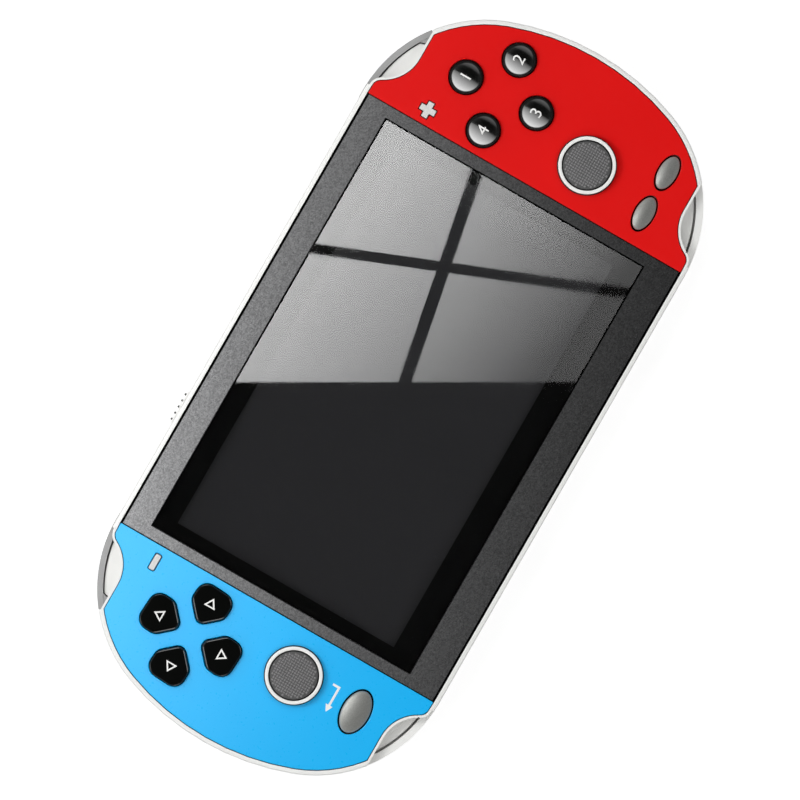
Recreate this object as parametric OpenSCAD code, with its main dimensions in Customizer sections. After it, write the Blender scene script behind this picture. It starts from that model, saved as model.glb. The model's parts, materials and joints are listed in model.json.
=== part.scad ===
// Handheld game console lying on its back. X runs along the body, Y towards the shoulder buttons
// and Z out of the screen. The origin is the middle of the flat back. Millimetres and degrees.

/* [Body] */
// Length of the body
body_l = 171.5; // [168:0.5:185]
// Width of the body, without the power slide
body_w = 80.3; // [78:0.1:88]
// Height from the back to the face
body_h = 16; // [15.5:0.1:20]
// Radius of the rounded corners
corner_r = 30.5; // [29.5:0.1:31]
// Radius of the bowed ends
end_r = 58; // [54:0.5:64]
// Thickness of the case wall
wall = 1.6; // [1.2:0.1:2]
// Radius of the back edge
back_round = 6; // [4:0.1:6.2]
// Radius of the front edge of the rim
front_round = 0.7; // [0.3:0.1:1]
// Height of the parting line between the two shells
split_h = 6.4; // [6.2:0.1:6.6]

/* [Face] */
// Width of the rim round the plates
rim_w = 1.05; // [0.9:0.05:1.4]
// Thickness of the plates and of the screen panel
plate_t = 0.8; // [0.6:0.1:1.2]
// Thickness of the deck under the plates
deck_t = 1.6; // [1.4:0.1:2]
// Gap round each plate
seam = 0.14; // [0.05:0.01:0.2]
// Gap along the long edges of the screen panel
panel_gap = 0.42; // [0.1:0.01:0.5]
// Length of the screen panel between the end plates
panel_l = 107; // [106:0.1:108]
// Distance from the panel edge or the corner centre to the middle of a corner notch
notch_in = 12; // [11.5:0.1:12.5]
// Radius of a corner notch
notch_r = 9; // [8:0.1:9.5]
// Depth of a corner notch from the edge of its plate
notch_drop = 6.2; // [5.5:0.05:6.6]
// Radius where a corner notch meets the long edge
notch_fillet = 2.5; // [1.5:0.1:3]
// Wall between a corner notch and its plate
notch_rim = 0.5; // [0.4:0.05:1.1]

/* [Corner bands] */
// Width of the band that runs round each corner
band_w = 1.6; // [1.4:0.1:1.8]
// Drop from the underside of the deck to the corner ledge
ledge_drop = 1.4; // [1:0.1:1.8]
// Thickness of the corner ledge
ledge_t = 3.4; // [3.2:0.1:3.6]
// Width of the groove inside a lower band
groove_w = 0.5; // [0.3:0.05:0.7]
// Depth of the groove
groove_d = 2.6; // [1:0.1:3]
// Angle at which the groove starts
groove_from = 56.4; // [54:0.2:60]
// Angle at which the groove ends
groove_to = 81.2; // [76:0.2:83]

/* [Screen] */
// Length of the lens
lens_l = 101.2; // [100:0.1:103]
// Width of the lens
lens_w = 64; // [60:0.1:66]
// Thickness of the lens
lens_t = 1.3; // [1:0.05:1.5]
// Place of the lens above the middle line
lens_y = 0.7; // [0:0.1:1.5]
// Thickness of the black tape that holds the lens
tape_t = 0.1; // [0.05:0.05:0.2]
// Length of the lit area
active_l = 95.04; // [90:0.01:96]
// Width of the lit area
active_w = 53.86; // [50:0.01:54.5]
// Place of the lit area above the middle line
active_y = 1.35; // [0.8:0.05:2]
// Margin of the deck window round the lit area
window_margin = 0.8; // [0.4:0.1:1]
// Border of the display panel round the lit area
lcd_border = 3.2; // [2.4:0.1:3.4]
// Thickness of the display panel
lcd_t = 2.3; // [1.8:0.1:2.4]
// Thickness of the tray behind the display
tray_t = 0.5; // [0.3:0.1:0.6]
// Height of the tray walls
tray_h = 2; // [1.2:0.1:2.2]
// Thickness of the foam gasket over the display
gasket_t = 0.3; // [0.2:0.05:0.4]

/* [Direction keys] */
// Distance of the key cluster from the panel edge
dpad_in = 13.55; // [13:0.05:14.5]
// Height of the key cluster above the middle line
dpad_y = 13.75; // [13:0.05:15]
// Turn of the key cluster
dpad_turn = -3.6; // [-5:0.1:5]
// Distance from the middle of the cluster to a key's tip
dpad_tip = 3.3; // [2.8:0.1:3.6]
// Length of a key
dpad_key_l = 8.2; // [7.6:0.1:8.6]
// Width of a key
dpad_key_w = 8.2; // [7:0.1:8.6]
// Radius of a key's tip
dpad_tip_r = 1.6; // [1:0.1:1.8]
// Radius where a key's tip meets its sides
dpad_side_r = 2.2; // [1:0.1:2.4]
// Radius of a key's outer corners
dpad_end_r = 2.4; // [1:0.1:2.8]
// Height of a pressed key above the face
dpad_low = 0.5; // [0.3:0.1:0.8]
// Travel of a key
dpad_travel = 0.8; // [0.5:0.1:1]

/* [Round buttons] */
// Distance of the button cluster from the panel edge
button_in = 13.95; // [13.5:0.05:14.5]
// Height of the button cluster above the middle line
button_y = 13.7; // [13:0.1:15]
// Turn of the button cluster
button_turn = 2.7; // [-5:0.1:5]
// Distance from the middle of the cluster to a button
button_pitch = 8.55; // [8:0.05:9]
// Radius of a button
button_r = 3.65; // [3:0.05:3.8]
// Height of a pressed button above the face
button_low = 1; // [0.8:0.1:1.4]
// Rise of the crown over the edge of a button
button_crown = 0.9; // [0.4:0.1:1.2]
// Travel of a button
button_travel = 1; // [0.5:0.1:1.2]

/* [Small keys] */
// Distance of the back key from the panel edge
back_in = 10.2; // [9.5:0.1:11]
// Distance of the back key from the lower edge
back_edge = 14.75; // [14.15:0.1:15.15]
// Length of the back key
back_l = 10.2; // [9:0.1:10.8]
// Width of the back key
back_w = 6.2; // [5:0.1:6.4]
// Distance of the start key from the panel edge
start_in = 7.2; // [6.8:0.1:7.6]
// Distance from the start key to the select key
option_pitch = 10.1; // [9.8:0.1:10.6]
// Distance of the start and select keys from the lower edge
option_edge = 14.35; // [13.95:0.1:15.15]
// Length of the start and select keys
option_l = 8.2; // [7:0.1:8.4]
// Width of the start and select keys
option_w = 4.3; // [3.6:0.1:4.8]
// Height of a pressed oval key above the face
oval_low = 0.4; // [0.2:0.1:0.8]
// Travel of the oval keys
oval_travel = 0.6; // [0.3:0.1:0.7]
// Rise of an oval key's crown
oval_crown = 0.65; // [0.3:0.05:0.8]
// Distance of the volume down key from the panel edge
minus_in = 3.75; // [3.5:0.05:4.2]
// Distance of the volume down key from the upper edge
minus_edge = 11.85; // [11.55:0.1:12.65]
// Distance of the volume up key from the panel edge
plus_in = 3.3; // [3.2:0.05:3.8]
// Distance of the volume up key from the upper edge
plus_edge = 14.25; // [13.15:0.1:15.15]
// Length of the volume keys
volume_l = 3.6; // [3:0.1:4]
// Width of the bars of the volume keys
volume_w = 1.3; // [1:0.1:1.6]
// Height of a pressed volume key above the face
volume_low = 0.2; // [0.1:0.1:0.6]
// Travel of the volume keys
volume_travel = 0.3; // [0.2:0.05:0.4]

/* [Key seats] */
// Gap between a key and its hole
key_gap = 0.2; // [0.15:0.01:0.25]
// Width of the flange that keeps a key in
flange_w = 0.8; // [0.6:0.05:1]
// Thickness of the flange
flange_t = 0.9; // [0.6:0.1:1.2]
// Gap between the flange and the deck
flange_gap = 0.15; // [0.1:0.05:0.2]
// Edge radius of the flat keys
edge_r = 0.45; // [0.2:0.05:0.6]
// Radius of a membrane sheet
sheet_r = 12.4; // [12:0.1:12.8]
// Thickness of a membrane sheet
sheet_t = 0.6; // [0.4:0.1:0.8]
// Radius of a large dome at its foot
dome_r = 3.2; // [2.6:0.1:3.6]
// Radius of a small dome at its foot
small_dome_r = 1.6; // [1.2:0.1:1.8]

/* [Sticks] */
// Distance of the sticks from the panel edge
stick_in = 10; // [9.6:0.1:10.6]
// Distance of the sticks below the middle line
stick_y = 9.9; // [9.8:0.1:10.4]
// Outer radius of the ring
ring_r = 6.25; // [6:0.05:6.6]
// Width of the ring
ring_w = 0.75; // [0.4:0.05:1]
// Height of the ring
ring_h = 1.7; // [1.4:0.1:2]
// Gap between a stick and the face
stick_gap = 0.3; // [0.2:0.05:0.4]
// Thickness of the head that carries the cap
head_t = 0.8; // [0.6:0.1:1]
// Gap between the ring and the cap
cap_gap = 0.3; // [0.1:0.05:0.4]
// Thickness of the cap
cap_t = 1.2; // [0.8:0.1:1.4]
// Travel of a stick to each side
stick_travel = 1.5; // [1:0.1:1.6]
// Radius of the stem
stem_r = 1.6; // [1.2:0.1:1.7]
// Width of a stick base
base_w = 18; // [17:0.1:18.4]
// Wall of a stick base
base_t = 1; // [0.8:0.1:1.2]
// Thickness of the slide
slide_t = 1.4; // [1:0.1:1.6]
// Thickness of the foot of the stem
foot_t = 0.8; // [0.6:0.1:1]
// Thickness of the steel cover
cover_t = 0.5; // [0.3:0.1:0.6]
// Running gap inside a stick
run_gap = 0.15; // [0.1:0.01:0.2]

/* [Shoulder buttons] */
// Angle at which a shoulder button starts
shoulder_from = 52; // [51:0.2:54]
// Length of the tail along the top edge
shoulder_tail = 1.7; // [1:0.1:2]
// How far a shoulder button stands out of the body
shoulder_proud = 0.15; // [0.1:0.05:0.5]
// Width of the bar of a shoulder button
bar_w = 1.3; // [1.2:0.1:1.7]
// Swing of a shoulder button
shoulder_swing = 0.8; // [0.8:0.1:2]
// Gap round a shoulder button
shoulder_gap = 0.17; // [0.15:0.01:0.25]
// Wall behind a shoulder button
web = 1.2; // [1:0.1:1.4]
// Distance of the hinge pin from the outside of the body
pin_in = 3.7; // [3.6:0.1:4]
// Angle of the hinge pin
pin_angle = 46; // [45:0.5:47]
// Radius of the hinge pin
pin_r = 0.8; // [0.6:0.05:0.9]
// Depth of the pin in each socket
pin_seat = 1.1; // [0.8:0.1:1.2]
// Running clearance of the hinge
pin_gap = 0.05; // [0.02:0.01:0.08]
// Radius of the hinge eye
eye_r = 1.7; // [1.5:0.1:1.8]
// Height of the boss under a hinge pin
pin_boss_h = 2.8; // [2.4:0.1:3]
// Length of a shoulder switch
switch_l = 6; // [5:0.1:6.4]
// Width of a shoulder switch
switch_w = 2.8; // [2.4:0.1:3]
// Height of a shoulder switch
switch_h = 3; // [2.6:0.1:3.2]
// Width of the plunger of a shoulder switch
plunger_w = 2; // [1.6:0.1:2.2]

/* [Power switch] */
// Distance of the power slide from the middle of the body
power_x = 25.65; // [24:0.05:27]
// Length of the power slide
power_l = 7.6; // [7:0.1:8.4]
// Height of the power slide
power_h = 3.4; // [3:0.1:3.8]
// How far the power slide stands out of the body
power_proud = 0.8; // [0.8:0.1:1.4]
// Depth of the recess that the slide runs in
power_sunk = 0.6; // [0.4:0.1:0.8]
// Number of ribs on the slide
power_ribs = 5; // [4:1:6]
// Travel of the power slide
power_travel = 3; // [2:0.1:3.4]
// Width of the neck behind the slide
neck_w = 2.2; // [1.8:0.1:2.6]
// Height of the middle of the power slide over the board
power_lift = 2.2; // [2:0.1:2.6]
// Width of the body of the power switch
power_body_w = 3.6; // [3:0.1:3.8]
// How far the neck reaches into the power switch
neck_seat = 0.4; // [0.3:0.05:0.6]

/* [Inside] */
// Height of the posts under the board
post_h = 5.2; // [5:0.1:5.4]
// Thickness of the board
board_t = 1.2; // [1:0.1:1.4]
// Gap between the board and the case
board_gap = 0.6; // [0.4:0.1:0.8]
// Distance of the board posts from the middle of the body
post_x = 47; // [46:0.5:48]
// Distance of the board posts from the middle of the display
post_y = 28; // [27:0.5:28.5]
// Distance of the foam pads from the middle of the body
pad_x = 34; // [33:0.5:36]
// Distance of the foam pads from the middle of the display
pad_y = 18; // [17:0.5:19]
// Length of the battery
battery_l = 60; // [50:1:62]
// Width of the battery
battery_w = 42; // [36:1:44]
// Thickness of the battery
battery_t = 4.2; // [3.6:0.1:4.6]
// Radius of a speaker
speaker_r = 9; // [8:0.1:9.4]
// Height of a speaker
speaker_h = 3.6; // [3:0.1:4]
// Distance of the speakers from the panel edge
speaker_in = 12.5; // [12:0.1:13]
// Radius of a grille hole
grille_r = 0.6; // [0.5:0.05:0.7]
// Distance of the camera from the middle of the body
camera_x = 40; // [38:0.5:42]
// Height of the camera above the middle line
camera_y = 22; // [20:0.5:23]
// Radius of the camera window
camera_r = 4.4; // [4:0.1:4.8]
// Thickness of the camera window
camera_t = 0.9; // [0.7:0.1:1]
// Width of the seat under the camera window
camera_lip = 1.2; // [0.8:0.1:1.4]
// Width of the camera module
camera_w = 9; // [8:0.1:9.4]
// Height of the camera module
camera_h = 3.6; // [3:0.1:4]
// Width of the display ribbon
flex_w = 18; // [14:0.5:20]
// Place of the display ribbon along the body
flex_x = 3; // [2:0.5:5]

/* [Sockets] */
// Place of the data socket along the lower edge
usb_x = -16; // [-18:0.5:-15]
// Width of the data socket
usb_w = 7.7; // [7.4:0.1:8]
// Height of the data socket
usb_h = 3.9; // [3.6:0.1:4]
// Depth of the data socket
usb_l = 9.2; // [8.6:0.1:9.6]
// Place of the earphone jack along the lower edge
jack_x = 34; // [32:0.5:36]
// Radius of the bore of the earphone jack
jack_bore_r = 1.8; // [1.76:0.01:1.9]
// Outer radius of the nose of the earphone jack
jack_nose_r = 2.5; // [2.4:0.05:2.6]
// Width of the earphone jack
jack_w = 6.2; // [5.8:0.1:6.6]
// How far the middle of the earphone jack lies under the top of the board
jack_sunk = 0.4; // [0.3:0.1:0.6]
// Length of the earphone jack
jack_l = 14; // [13:0.1:15]
// Place of the card socket along the lower edge
card_x = -36; // [-37:0.5:-35]
// Width of the card socket
card_w = 14; // [13:0.1:15]
// Height of the card socket
card_h = 1.9; // [1.7:0.1:2.1]
// Depth of the card socket
card_l = 15; // [13:0.1:15.5]
// Width of the card slot
card_slot_w = 11.4; // [11.2:0.1:11.8]
// Height of the card slot
card_slot_h = 1; // [0.9:0.05:1.1]
// Gap between a socket and the case
socket_gap = 0.2; // [0.1:0.05:0.3]

/* [Screws] */
// Radius of a case screw
screw_r = 1; // [0.8:0.05:1.1]
// Radius of a case screw head
head_r = 1.9; // [1.7:0.05:2]
// Height of a case screw head
head_h = 1.2; // [1:0.1:1.4]
// Depth of a case screw head's recess
recess_d = 2.4; // [2:0.1:2.8]
// Distance of the corner screws from the panel edge or the corner centre
case_in = 6.5; // [6.3:0.1:7]
// Distance of the corner screws from the long edges
case_edge = 7.15; // [7:0.05:7.4]
// Distance of the middle screws from the long edges
middle_edge = 5.55; // [5.4:0.05:5.6]
// Height of the joint between two bosses under the parting line
boss_drop = 1.2; // [1:0.1:1.4]
// Radius of the bosses in the front shell
boss_r = 2.4; // [2.2:0.1:2.6]
// Radius of the posts under the board
post_r = 2.2; // [2:0.1:2.4]
// Gap between a screw and its hole
screw_gap = 0.1; // [0.05:0.01:0.15]

/* [Hidden] */
$fn = 64;
eps = 0.01;
over = 4;
end_steps = 4;
corner_steps = 14;
round_steps = 6;

// Levels of the stack, from the back to the face
board_z = wall + post_h;
board_top = board_z + board_t;
plate_z = body_h - plate_t;
deck_z = plate_z - deck_t;
ledge_z = deck_z - ledge_drop;
shoulder_top = deck_z - 2 * shoulder_gap;
lens_z = body_h - lens_t;
gasket_z = deck_z - gasket_t;
lcd_z = gasket_z - lcd_t;
tray_z = lcd_z - tray_t;
flange_top = deck_z - flange_gap;
flange_z = flange_top - flange_t;
dome_top = flange_z - flange_gap / 3;
dpad_top = body_h + dpad_low + dpad_travel;
button_top = body_h + button_low + button_travel;
oval_top = body_h + oval_low + oval_travel;
volume_top = body_h + volume_low + volume_travel;

// Places on the face
half_l = body_l / 2;
half_w = body_w / 2;
panel_x = panel_l / 2;
dpad_c = [-panel_x - dpad_in, dpad_y];
button_c = [panel_x + button_in, button_y];
back_c = [-panel_x - back_in, back_edge - half_w];
start_c = [panel_x + start_in, option_edge - half_w];
select_c = start_c + [option_pitch, 0];
minus_c = [-panel_x - minus_in, half_w - minus_edge];
plus_c = [panel_x + plus_in, half_w - plus_edge];
stick_c = [panel_x + stick_in, -stick_y];

// Arcs of one quarter of the body outline
end_x = half_l - end_r;
corner_y = half_w - corner_r;
corner_x = end_x + sqrt(pow(end_r - corner_r, 2) - pow(corner_y, 2));
corner_c = [corner_x, corner_y];
corner_from = atan2(corner_y, corner_x - end_x);
// The panel edge or the corner centre, whichever is further out
corner_in = max(panel_x, corner_x);

// Arcs of one corner notch
plate_w = half_w - rim_w;
notch_c = [corner_in + notch_in, plate_w - notch_drop + notch_r];
fillet_y = plate_w - notch_fillet;
notch_fall = notch_c.y - fillet_y;
notch_side = sqrt(pow(notch_r + notch_fillet, 2) - pow(notch_fall, 2));
fillet_c = [notch_c.x - notch_side, fillet_y];
notch_from = atan2(notch_fall, notch_side);

// Shoulder hinge
pin_track = corner_r - pin_in;
pin_c = corner_c + pin_track * [cos(pin_angle), sin(pin_angle)];
band_r = corner_r - band_w;
bar_r = corner_r + shoulder_proud - bar_w;
bar_y = corner_y + bar_r;
eye_z = board_top + flange_gap;
switch_y = bar_y - shoulder_gap - web - plunger_w;
plunger_y = bar_y - (pin_c.x - corner_x) * sin(shoulder_swing) - shoulder_gap;
plunger_h = switch_h / 2;
// Angles past the start of a bar between which its arm meets it
arm_from = 0.5;
arm_to = 8;

// Sticks
stick_z = body_h + stick_gap;
stem_hole_r = stem_r + sqrt(2) * stick_travel + run_gap;
base_z = board_top;
slide_z = base_z + base_t + run_gap;
foot_z = slide_z + slide_t + run_gap;
cover_z = foot_z + foot_t + run_gap;
well_w = base_w - 2 * base_t;
slide_l = well_w - 2 * stick_travel - 2 * run_gap;
lug_w = 5;
foot_l = 9;
cap_crown = 0.3;

// Oval keys: shares of the outline that the crown steps through
crown_steps = [1, 0.96, 0.88, 0.76, 0.6, 0.4, 0.2];

// Screws and posts
case_points = [
    for (sx = [-1, 1], sy = [-1, 1]) [sx * (corner_in + case_in), sy * (half_w - case_edge)],
    for (sy = [-1, 1]) [0, sy * (half_w - middle_edge)]
];
boss_gap = 0.2;
boss_z = split_h - boss_drop;
screw_cover = 1;
screw_top = ledge_z - screw_cover;
pilot_z = wall + 1;
post_points = [for (sx = [-1, 1], sy = [-1, 1]) [sx * post_x, active_y + sy * post_y]];

// Places of what lies on the board and on the back
speaker_c = [panel_x + speaker_in, -stick_y];
speaker_rib = 1.2;
jack_z = board_top - jack_sunk;
power_z = board_top + power_lift;
power_back_y = half_w - 2.5 * wall;
camera_c = [-camera_x, camera_y];
camera_bore_r = camera_r - camera_lip;
lead_gap = 3;
lead_r = 0.5;
plug_size = [6, 5, 3];
foam_size = [12, 6];

// Chips on the board: x, y, length, width and height
chip_list = [[0, 4, 14, 14, 1.2], [-20, 6, 10, 14, 1], [21, 6, 12, 18, 1], [4, -14, 7, 7, 0.9]];

// Display ribbon and its connector
flex_t = 0.2;
flex_bow = 1.4;
lcd_edge = active_y - active_w / 2 - lcd_border;
connector_h = 1.2;
connector_l = 4;
flex_low = board_top + connector_h / 2;

// Points on an arc about c, from angle a0 to a1, in n steps
function arc(c, r, a0, a1, n) =
    [for (i = [0 : n]) let (a = a0 + (a1 - a0) * i / n) c + r * [cos(a), sin(a)]];

function reversed(p) = [for (i = [len(p) - 1 : -1 : 0]) p[i]];

// A quarter of the body outline, moved inwards by d
function quarter(d, first) = concat(
    [for (i = [first : end_steps - 1]) let (a = corner_from * i / end_steps)
        [end_x + (end_r - d) * cos(a), (end_r - d) * sin(a)]],
    arc(corner_c, corner_r - d, corner_from, 90, corner_steps)
);

function outline(d) = concat(
    quarter(d, 0),
    [for (p = reversed(quarter(d, 1))) [-p.x, p.y]],
    [for (p = quarter(d, 0)) -p],
    [for (p = reversed(quarter(d, 1))) [p.x, -p.y]]
);

// The corner notch, with its edge moved outwards by t
function notch(t) = concat(
    [[fillet_c.x, half_w + over]],
    arc(fillet_c, notch_fillet + t, 90, notch_from, 6),
    arc(notch_c, notch_r - t, 180 + notch_from, 270, 12),
    [[half_l, notch_c.y - notch_r + t], [half_l, half_w + over]]
);

// A point on the corner arc of the body, at radius r and angle a
function at_corner(r, a) = corner_c + r * [cos(a), sin(a)];

// A piece of a ring about the corner centre
function ring_sector(r0, r1, a0, a1) =
    concat(arc(corner_c, r1, a0, a1, corner_steps), arc(corner_c, r0, a1, a0, corner_steps));

// The curved bar of a shoulder button, grown by g
function shoulder_bar(g) =
    let (r1 = corner_r + shoulder_proud + g, r0 = bar_r - g, a = g / bar_r * 180 / PI)
    concat(
        arc(corner_c, r1, shoulder_from - a, 90, corner_steps),
        [[corner_x - shoulder_tail - g, corner_y + r1], [corner_x - shoulder_tail - g, corner_y + r0]],
        arc(corner_c, r0, 90, shoulder_from - a, corner_steps)
    );

// The arm from the bar to the hinge eye, grown by g
function shoulder_arm(g) = [
    at_corner(pin_track + eye_r + g, pin_angle),
    at_corner(bar_r + bar_w / 2, shoulder_from + arm_from - g),
    at_corner(bar_r + bar_w / 2, shoulder_from + arm_to + 3 * g),
    at_corner(pin_track - eye_r - g, pin_angle)
];

// A convex outline of radius r about the points c
function round_poly(c, r) = [
    for (i = [0 : len(c) - 1])
        let (n = len(c), b = c[i], e0 = b - c[(i + n - 1) % n], e1 = c[(i + 1) % n] - b,
            a0 = atan2(e0.y, e0.x) - 90, a1 = atan2(e1.y, e1.x) - 90)
        each arc(b, r, a0, a1 < a0 ? a1 + 360 : a1, 4)
];

// Direction key with its square tip towards the cluster's middle, grown by g
function dpad_outline(g) =
    let (h = dpad_key_w / 2, end = dpad_tip + dpad_key_l - dpad_end_r,
        tip = dpad_tip + dpad_tip_r, sharp = tip - dpad_tip_r * sqrt(2),
        side = sharp + h + dpad_side_r * tan(22.5))
    concat(
        arc([0, tip], dpad_tip_r + g, 225, 315, 6),
        arc([h - dpad_side_r, side], dpad_side_r + g, 315, 360, 4),
        arc([h - dpad_end_r, end], dpad_end_r + g, 0, 90, 8),
        arc([dpad_end_r - h, end], dpad_end_r + g, 90, 180, 8),
        arc([dpad_side_r - h, side], dpad_side_r + g, 180, 225, 4)
    );

function ellipse(l, w, g) = [for (i = [0 : 47]) [(l / 2 + g) * cos(i * 7.5), (w / 2 + g) * sin(i * 7.5)]];

function bar_outline(g) = let (r = volume_w / 5, x = volume_l / 2 - r, y = volume_w / 2 - r)
    round_poly([[x, -y], [x, y], [-x, y], [-x, -y]], r + g);

function cross_outline(g) = let (a = volume_l / 2 + g, b = volume_w / 2 + g)
    [[a, -b], [a, b], [b, b], [b, a], [-b, a], [-b, b],
     [-a, b], [-a, -b], [-b, -b], [-b, -a], [b, -a], [b, -b]];

// Steps of a rounded top edge that ends at height z, each an inset and a height
function edge_steps(z, r) = [[0, z - r], [r * 0.3, z - r * 0.3], [r, z]];

// Levels of the rounded back, moved inwards by w, each a height and an inset
function back_levels(w) = [
    for (i = [0 : round_steps]) let (a = 90 * i / round_steps)
        [back_round - (back_round - w) * cos(a), back_round - (back_round - w) * sin(a)]
];

function level_ring(points, z) = [for (p = points) [p.x, p.y, z]];

// Closed skin over rings of as many points each, from the lowest up
module skin(rings) {
    n = len(rings[0]);
    m = len(rings);
    polyhedron(
        points = [for (r = rings) each r],
        faces = concat(
            [[for (i = [0 : n - 1]) i]],
            [[for (i = [n - 1 : -1 : 0]) (m - 1) * n + i]],
            [for (k = [0 : m - 2], i = [0 : n - 1])
                [k * n + i, (k + 1) * n + i, (k + 1) * n + (i + 1) % n, k * n + (i + 1) % n]]
        ),
        convexity = 4
    );
}

// Straight solid between two heights
module rise(z0, z1) {
    translate([0, 0, z0]) linear_extrude(z1 - z0) children();
}

module both() {
    children();
    mirror([1, 0, 0]) children();
}

module turn_about(c, a) {
    translate(c) rotate(a) translate(-c) children();
}

// Box centred in x and y that stands on z0
module block(x, y, z0, size) {
    translate([x - size.x / 2, y - size.y / 2, z0]) cube(size);
}

module notches_2d(t) {
    both() {
        polygon(notch(t));
        mirror([0, 1]) polygon(notch(t));
    }
}

// Space that a shoulder bar sweeps, with gap g
module shoulder_sweep_2d(g) {
    for (a = [0, shoulder_swing]) turn_about(pin_c, a) polygon(shoulder_bar(g));
}

module eye_sweep_2d(g) {
    translate(pin_c) circle(eye_r + g);
    for (a = [0, shoulder_swing]) turn_about(pin_c, a) polygon(shoulder_arm(g));
}

module hollow_2d() {
    difference() {
        polygon(outline(wall));
        both() shoulder_sweep_2d(shoulder_gap + web);
    }
}

// Holes for all keys and sticks, cut through the face
module key_holes(z0) {
    rise(z0, body_h + over) {
        for (a = [0 : 90 : 270]) translate(dpad_c) rotate(dpad_turn + a) polygon(dpad_outline(key_gap));
        translate(back_c) polygon(ellipse(back_l, back_w, key_gap));
        for (c = [start_c, select_c]) translate(c) polygon(ellipse(option_l, option_w, key_gap));
        translate(minus_c) polygon(bar_outline(key_gap));
        translate(plus_c) polygon(cross_outline(key_gap));
    }
    for (a = [0 : 90 : 270]) translate(button_c) rotate(button_turn + a)
        translate([button_pitch, 0, z0]) cylinder(r = button_r + key_gap, h = body_h);
    both() translate([stick_c.x, stick_c.y, z0]) cylinder(r = stem_hole_r, h = body_h);
}

// Cuts that the sockets on the lower edge make in both shells
module socket_cuts() {
    translate([jack_x, -half_w - over, jack_z]) rotate([-90, 0, 0])
        cylinder(r = jack_nose_r + socket_gap, h = over + 2 * wall);
    block(usb_x, -half_w, board_top - socket_gap,
        [usb_w + 2 * socket_gap, 4 * wall, usb_h + 2 * socket_gap]);
    block(card_x, -half_w, board_top + (card_h - card_slot_h) / 2 - socket_gap,
        [card_slot_w + 2 * socket_gap, 4 * wall, card_slot_h + 2 * socket_gap]);
}

module power_cuts() {
    recess_l = power_l + power_travel + 4 * socket_gap;
    slot_l = neck_w + power_travel + 4 * socket_gap;
    x = -power_x + power_travel / 2;
    translate([x - recess_l / 2, half_w - power_sunk - socket_gap, power_z - power_h / 2 - socket_gap])
        cube([recess_l, over, power_h + 2 * socket_gap]);
    translate([x - slot_l / 2, half_w - 2 * wall, power_z - neck_w / 2 - socket_gap])
        cube([slot_l, 2 * wall + over, neck_w + 2 * socket_gap]);
}

module front_shell() {
    top = [for (s = edge_steps(body_h, front_round)) level_ring(outline(s[0]), s[1])];
    color("#F4F4F2") difference() {
        union() {
            difference() {
                skin(concat([level_ring(outline(0), split_h)], top));
                rise(split_h - over, deck_z) difference() {
                    hollow_2d();
                    notches_2d(notch_rim - web);
                }
                rise(split_h - over, ledge_z - ledge_t) hollow_2d();
            }
            for (p = case_points) translate([p.x, p.y, boss_z + boss_gap])
                cylinder(r = boss_r, h = deck_z + eps - boss_z - boss_gap);
        }
        for (p = case_points) translate([p.x, p.y, 0])
            cylinder(r = screw_r + screw_gap, h = screw_top + boss_gap);
        rise(plate_z, body_h + over) difference() {
            polygon(outline(rim_w));
            notches_2d(0);
        }
        // corner ledges, with a band and a groove in the lower corners and a pocket in the upper ones
        rise(ledge_z, body_h + over) both() polygon(notch(notch_rim));
        both() mirror([0, 1, 0]) {
            rise(ledge_z, body_h + over) intersection() {
                polygon(notch(notch_rim));
                translate(corner_c) circle(band_r);
            }
            rise(shoulder_top, body_h + over) polygon(notch(notch_rim));
            rise(ledge_z - groove_d, body_h)
                polygon(ring_sector(band_r - groove_w, band_r + eps, groove_from, groove_to));
        }
        both() {
            rise(split_h - over, shoulder_top + shoulder_gap) {
                shoulder_sweep_2d(shoulder_gap);
                eye_sweep_2d(shoulder_gap);
            }
            translate([pin_c.x, pin_c.y, deck_z - over]) cylinder(r = pin_r + pin_gap, h = over + pin_seat);
            block(corner_x, bar_y - web, board_top, [plunger_w + 1, 4 * web, switch_h]);
        }
        // screen
        block(0, lens_y, lens_z - tape_t, [lens_l + 2 * seam, lens_w + 2 * seam, body_h]);
        block(0, active_y, 0, [active_l + 2 * window_margin, active_w + 2 * window_margin, body_h]);
        key_holes(split_h);
        socket_cuts();
        power_cuts();
    }
}

// Rounded back, moved inwards by w, up to height z
module back_skin(w, z) {
    skin([for (l = concat(back_levels(w), [[z, w]])) level_ring(outline(l[1]), l[0])]);
}

module rear_shell() {
    color("#F1F1EF") difference() {
        union() {
            difference() {
                back_skin(0, split_h);
                back_skin(wall, split_h + over);
            }
            for (p = post_points) translate([p.x, p.y, wall - eps]) cylinder(r = post_r, h = post_h + eps);
            for (p = case_points) translate([p.x, p.y, wall - eps]) cylinder(r = boss_r, h = boss_z - wall);
            both() {
                translate([speaker_c.x, speaker_c.y, wall - eps])
                    cylinder(r = speaker_r + speaker_rib, h = speaker_h / 2);
                translate([pin_c.x, pin_c.y, split_h - pin_boss_h]) cylinder(r = eye_r, h = pin_boss_h);
            }
        }
        for (p = case_points) translate([p.x, p.y, -eps]) {
            cylinder(r = head_r + screw_gap, h = recess_d);
            cylinder(r = screw_r + screw_gap, h = boss_z + eps);
        }
        for (p = post_points) translate([p.x, p.y, pilot_z]) cylinder(r = screw_r, h = post_h);
        both() {
            translate([speaker_c.x, speaker_c.y, wall]) cylinder(r = speaker_r + screw_gap, h = speaker_h);
            for (k = [0 : 2], i = [0 : max(6 * k - 1, 0)])
                translate([speaker_c.x, speaker_c.y, -eps]) rotate(i * 60 / max(k, 1))
                    translate([k * speaker_r / 3.2, 0, 0]) cylinder(r = grille_r, h = 2 * wall);
            translate([pin_c.x, pin_c.y, split_h - pin_seat - flange_gap])
                cylinder(r = pin_r + pin_gap, h = over);
        }
        translate([camera_c.x, camera_c.y, -eps]) {
            cylinder(r = camera_r + seam, h = camera_t + seam);
            cylinder(r = camera_bore_r, h = 2 * wall);
        }
        socket_cuts();
    }
}

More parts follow.
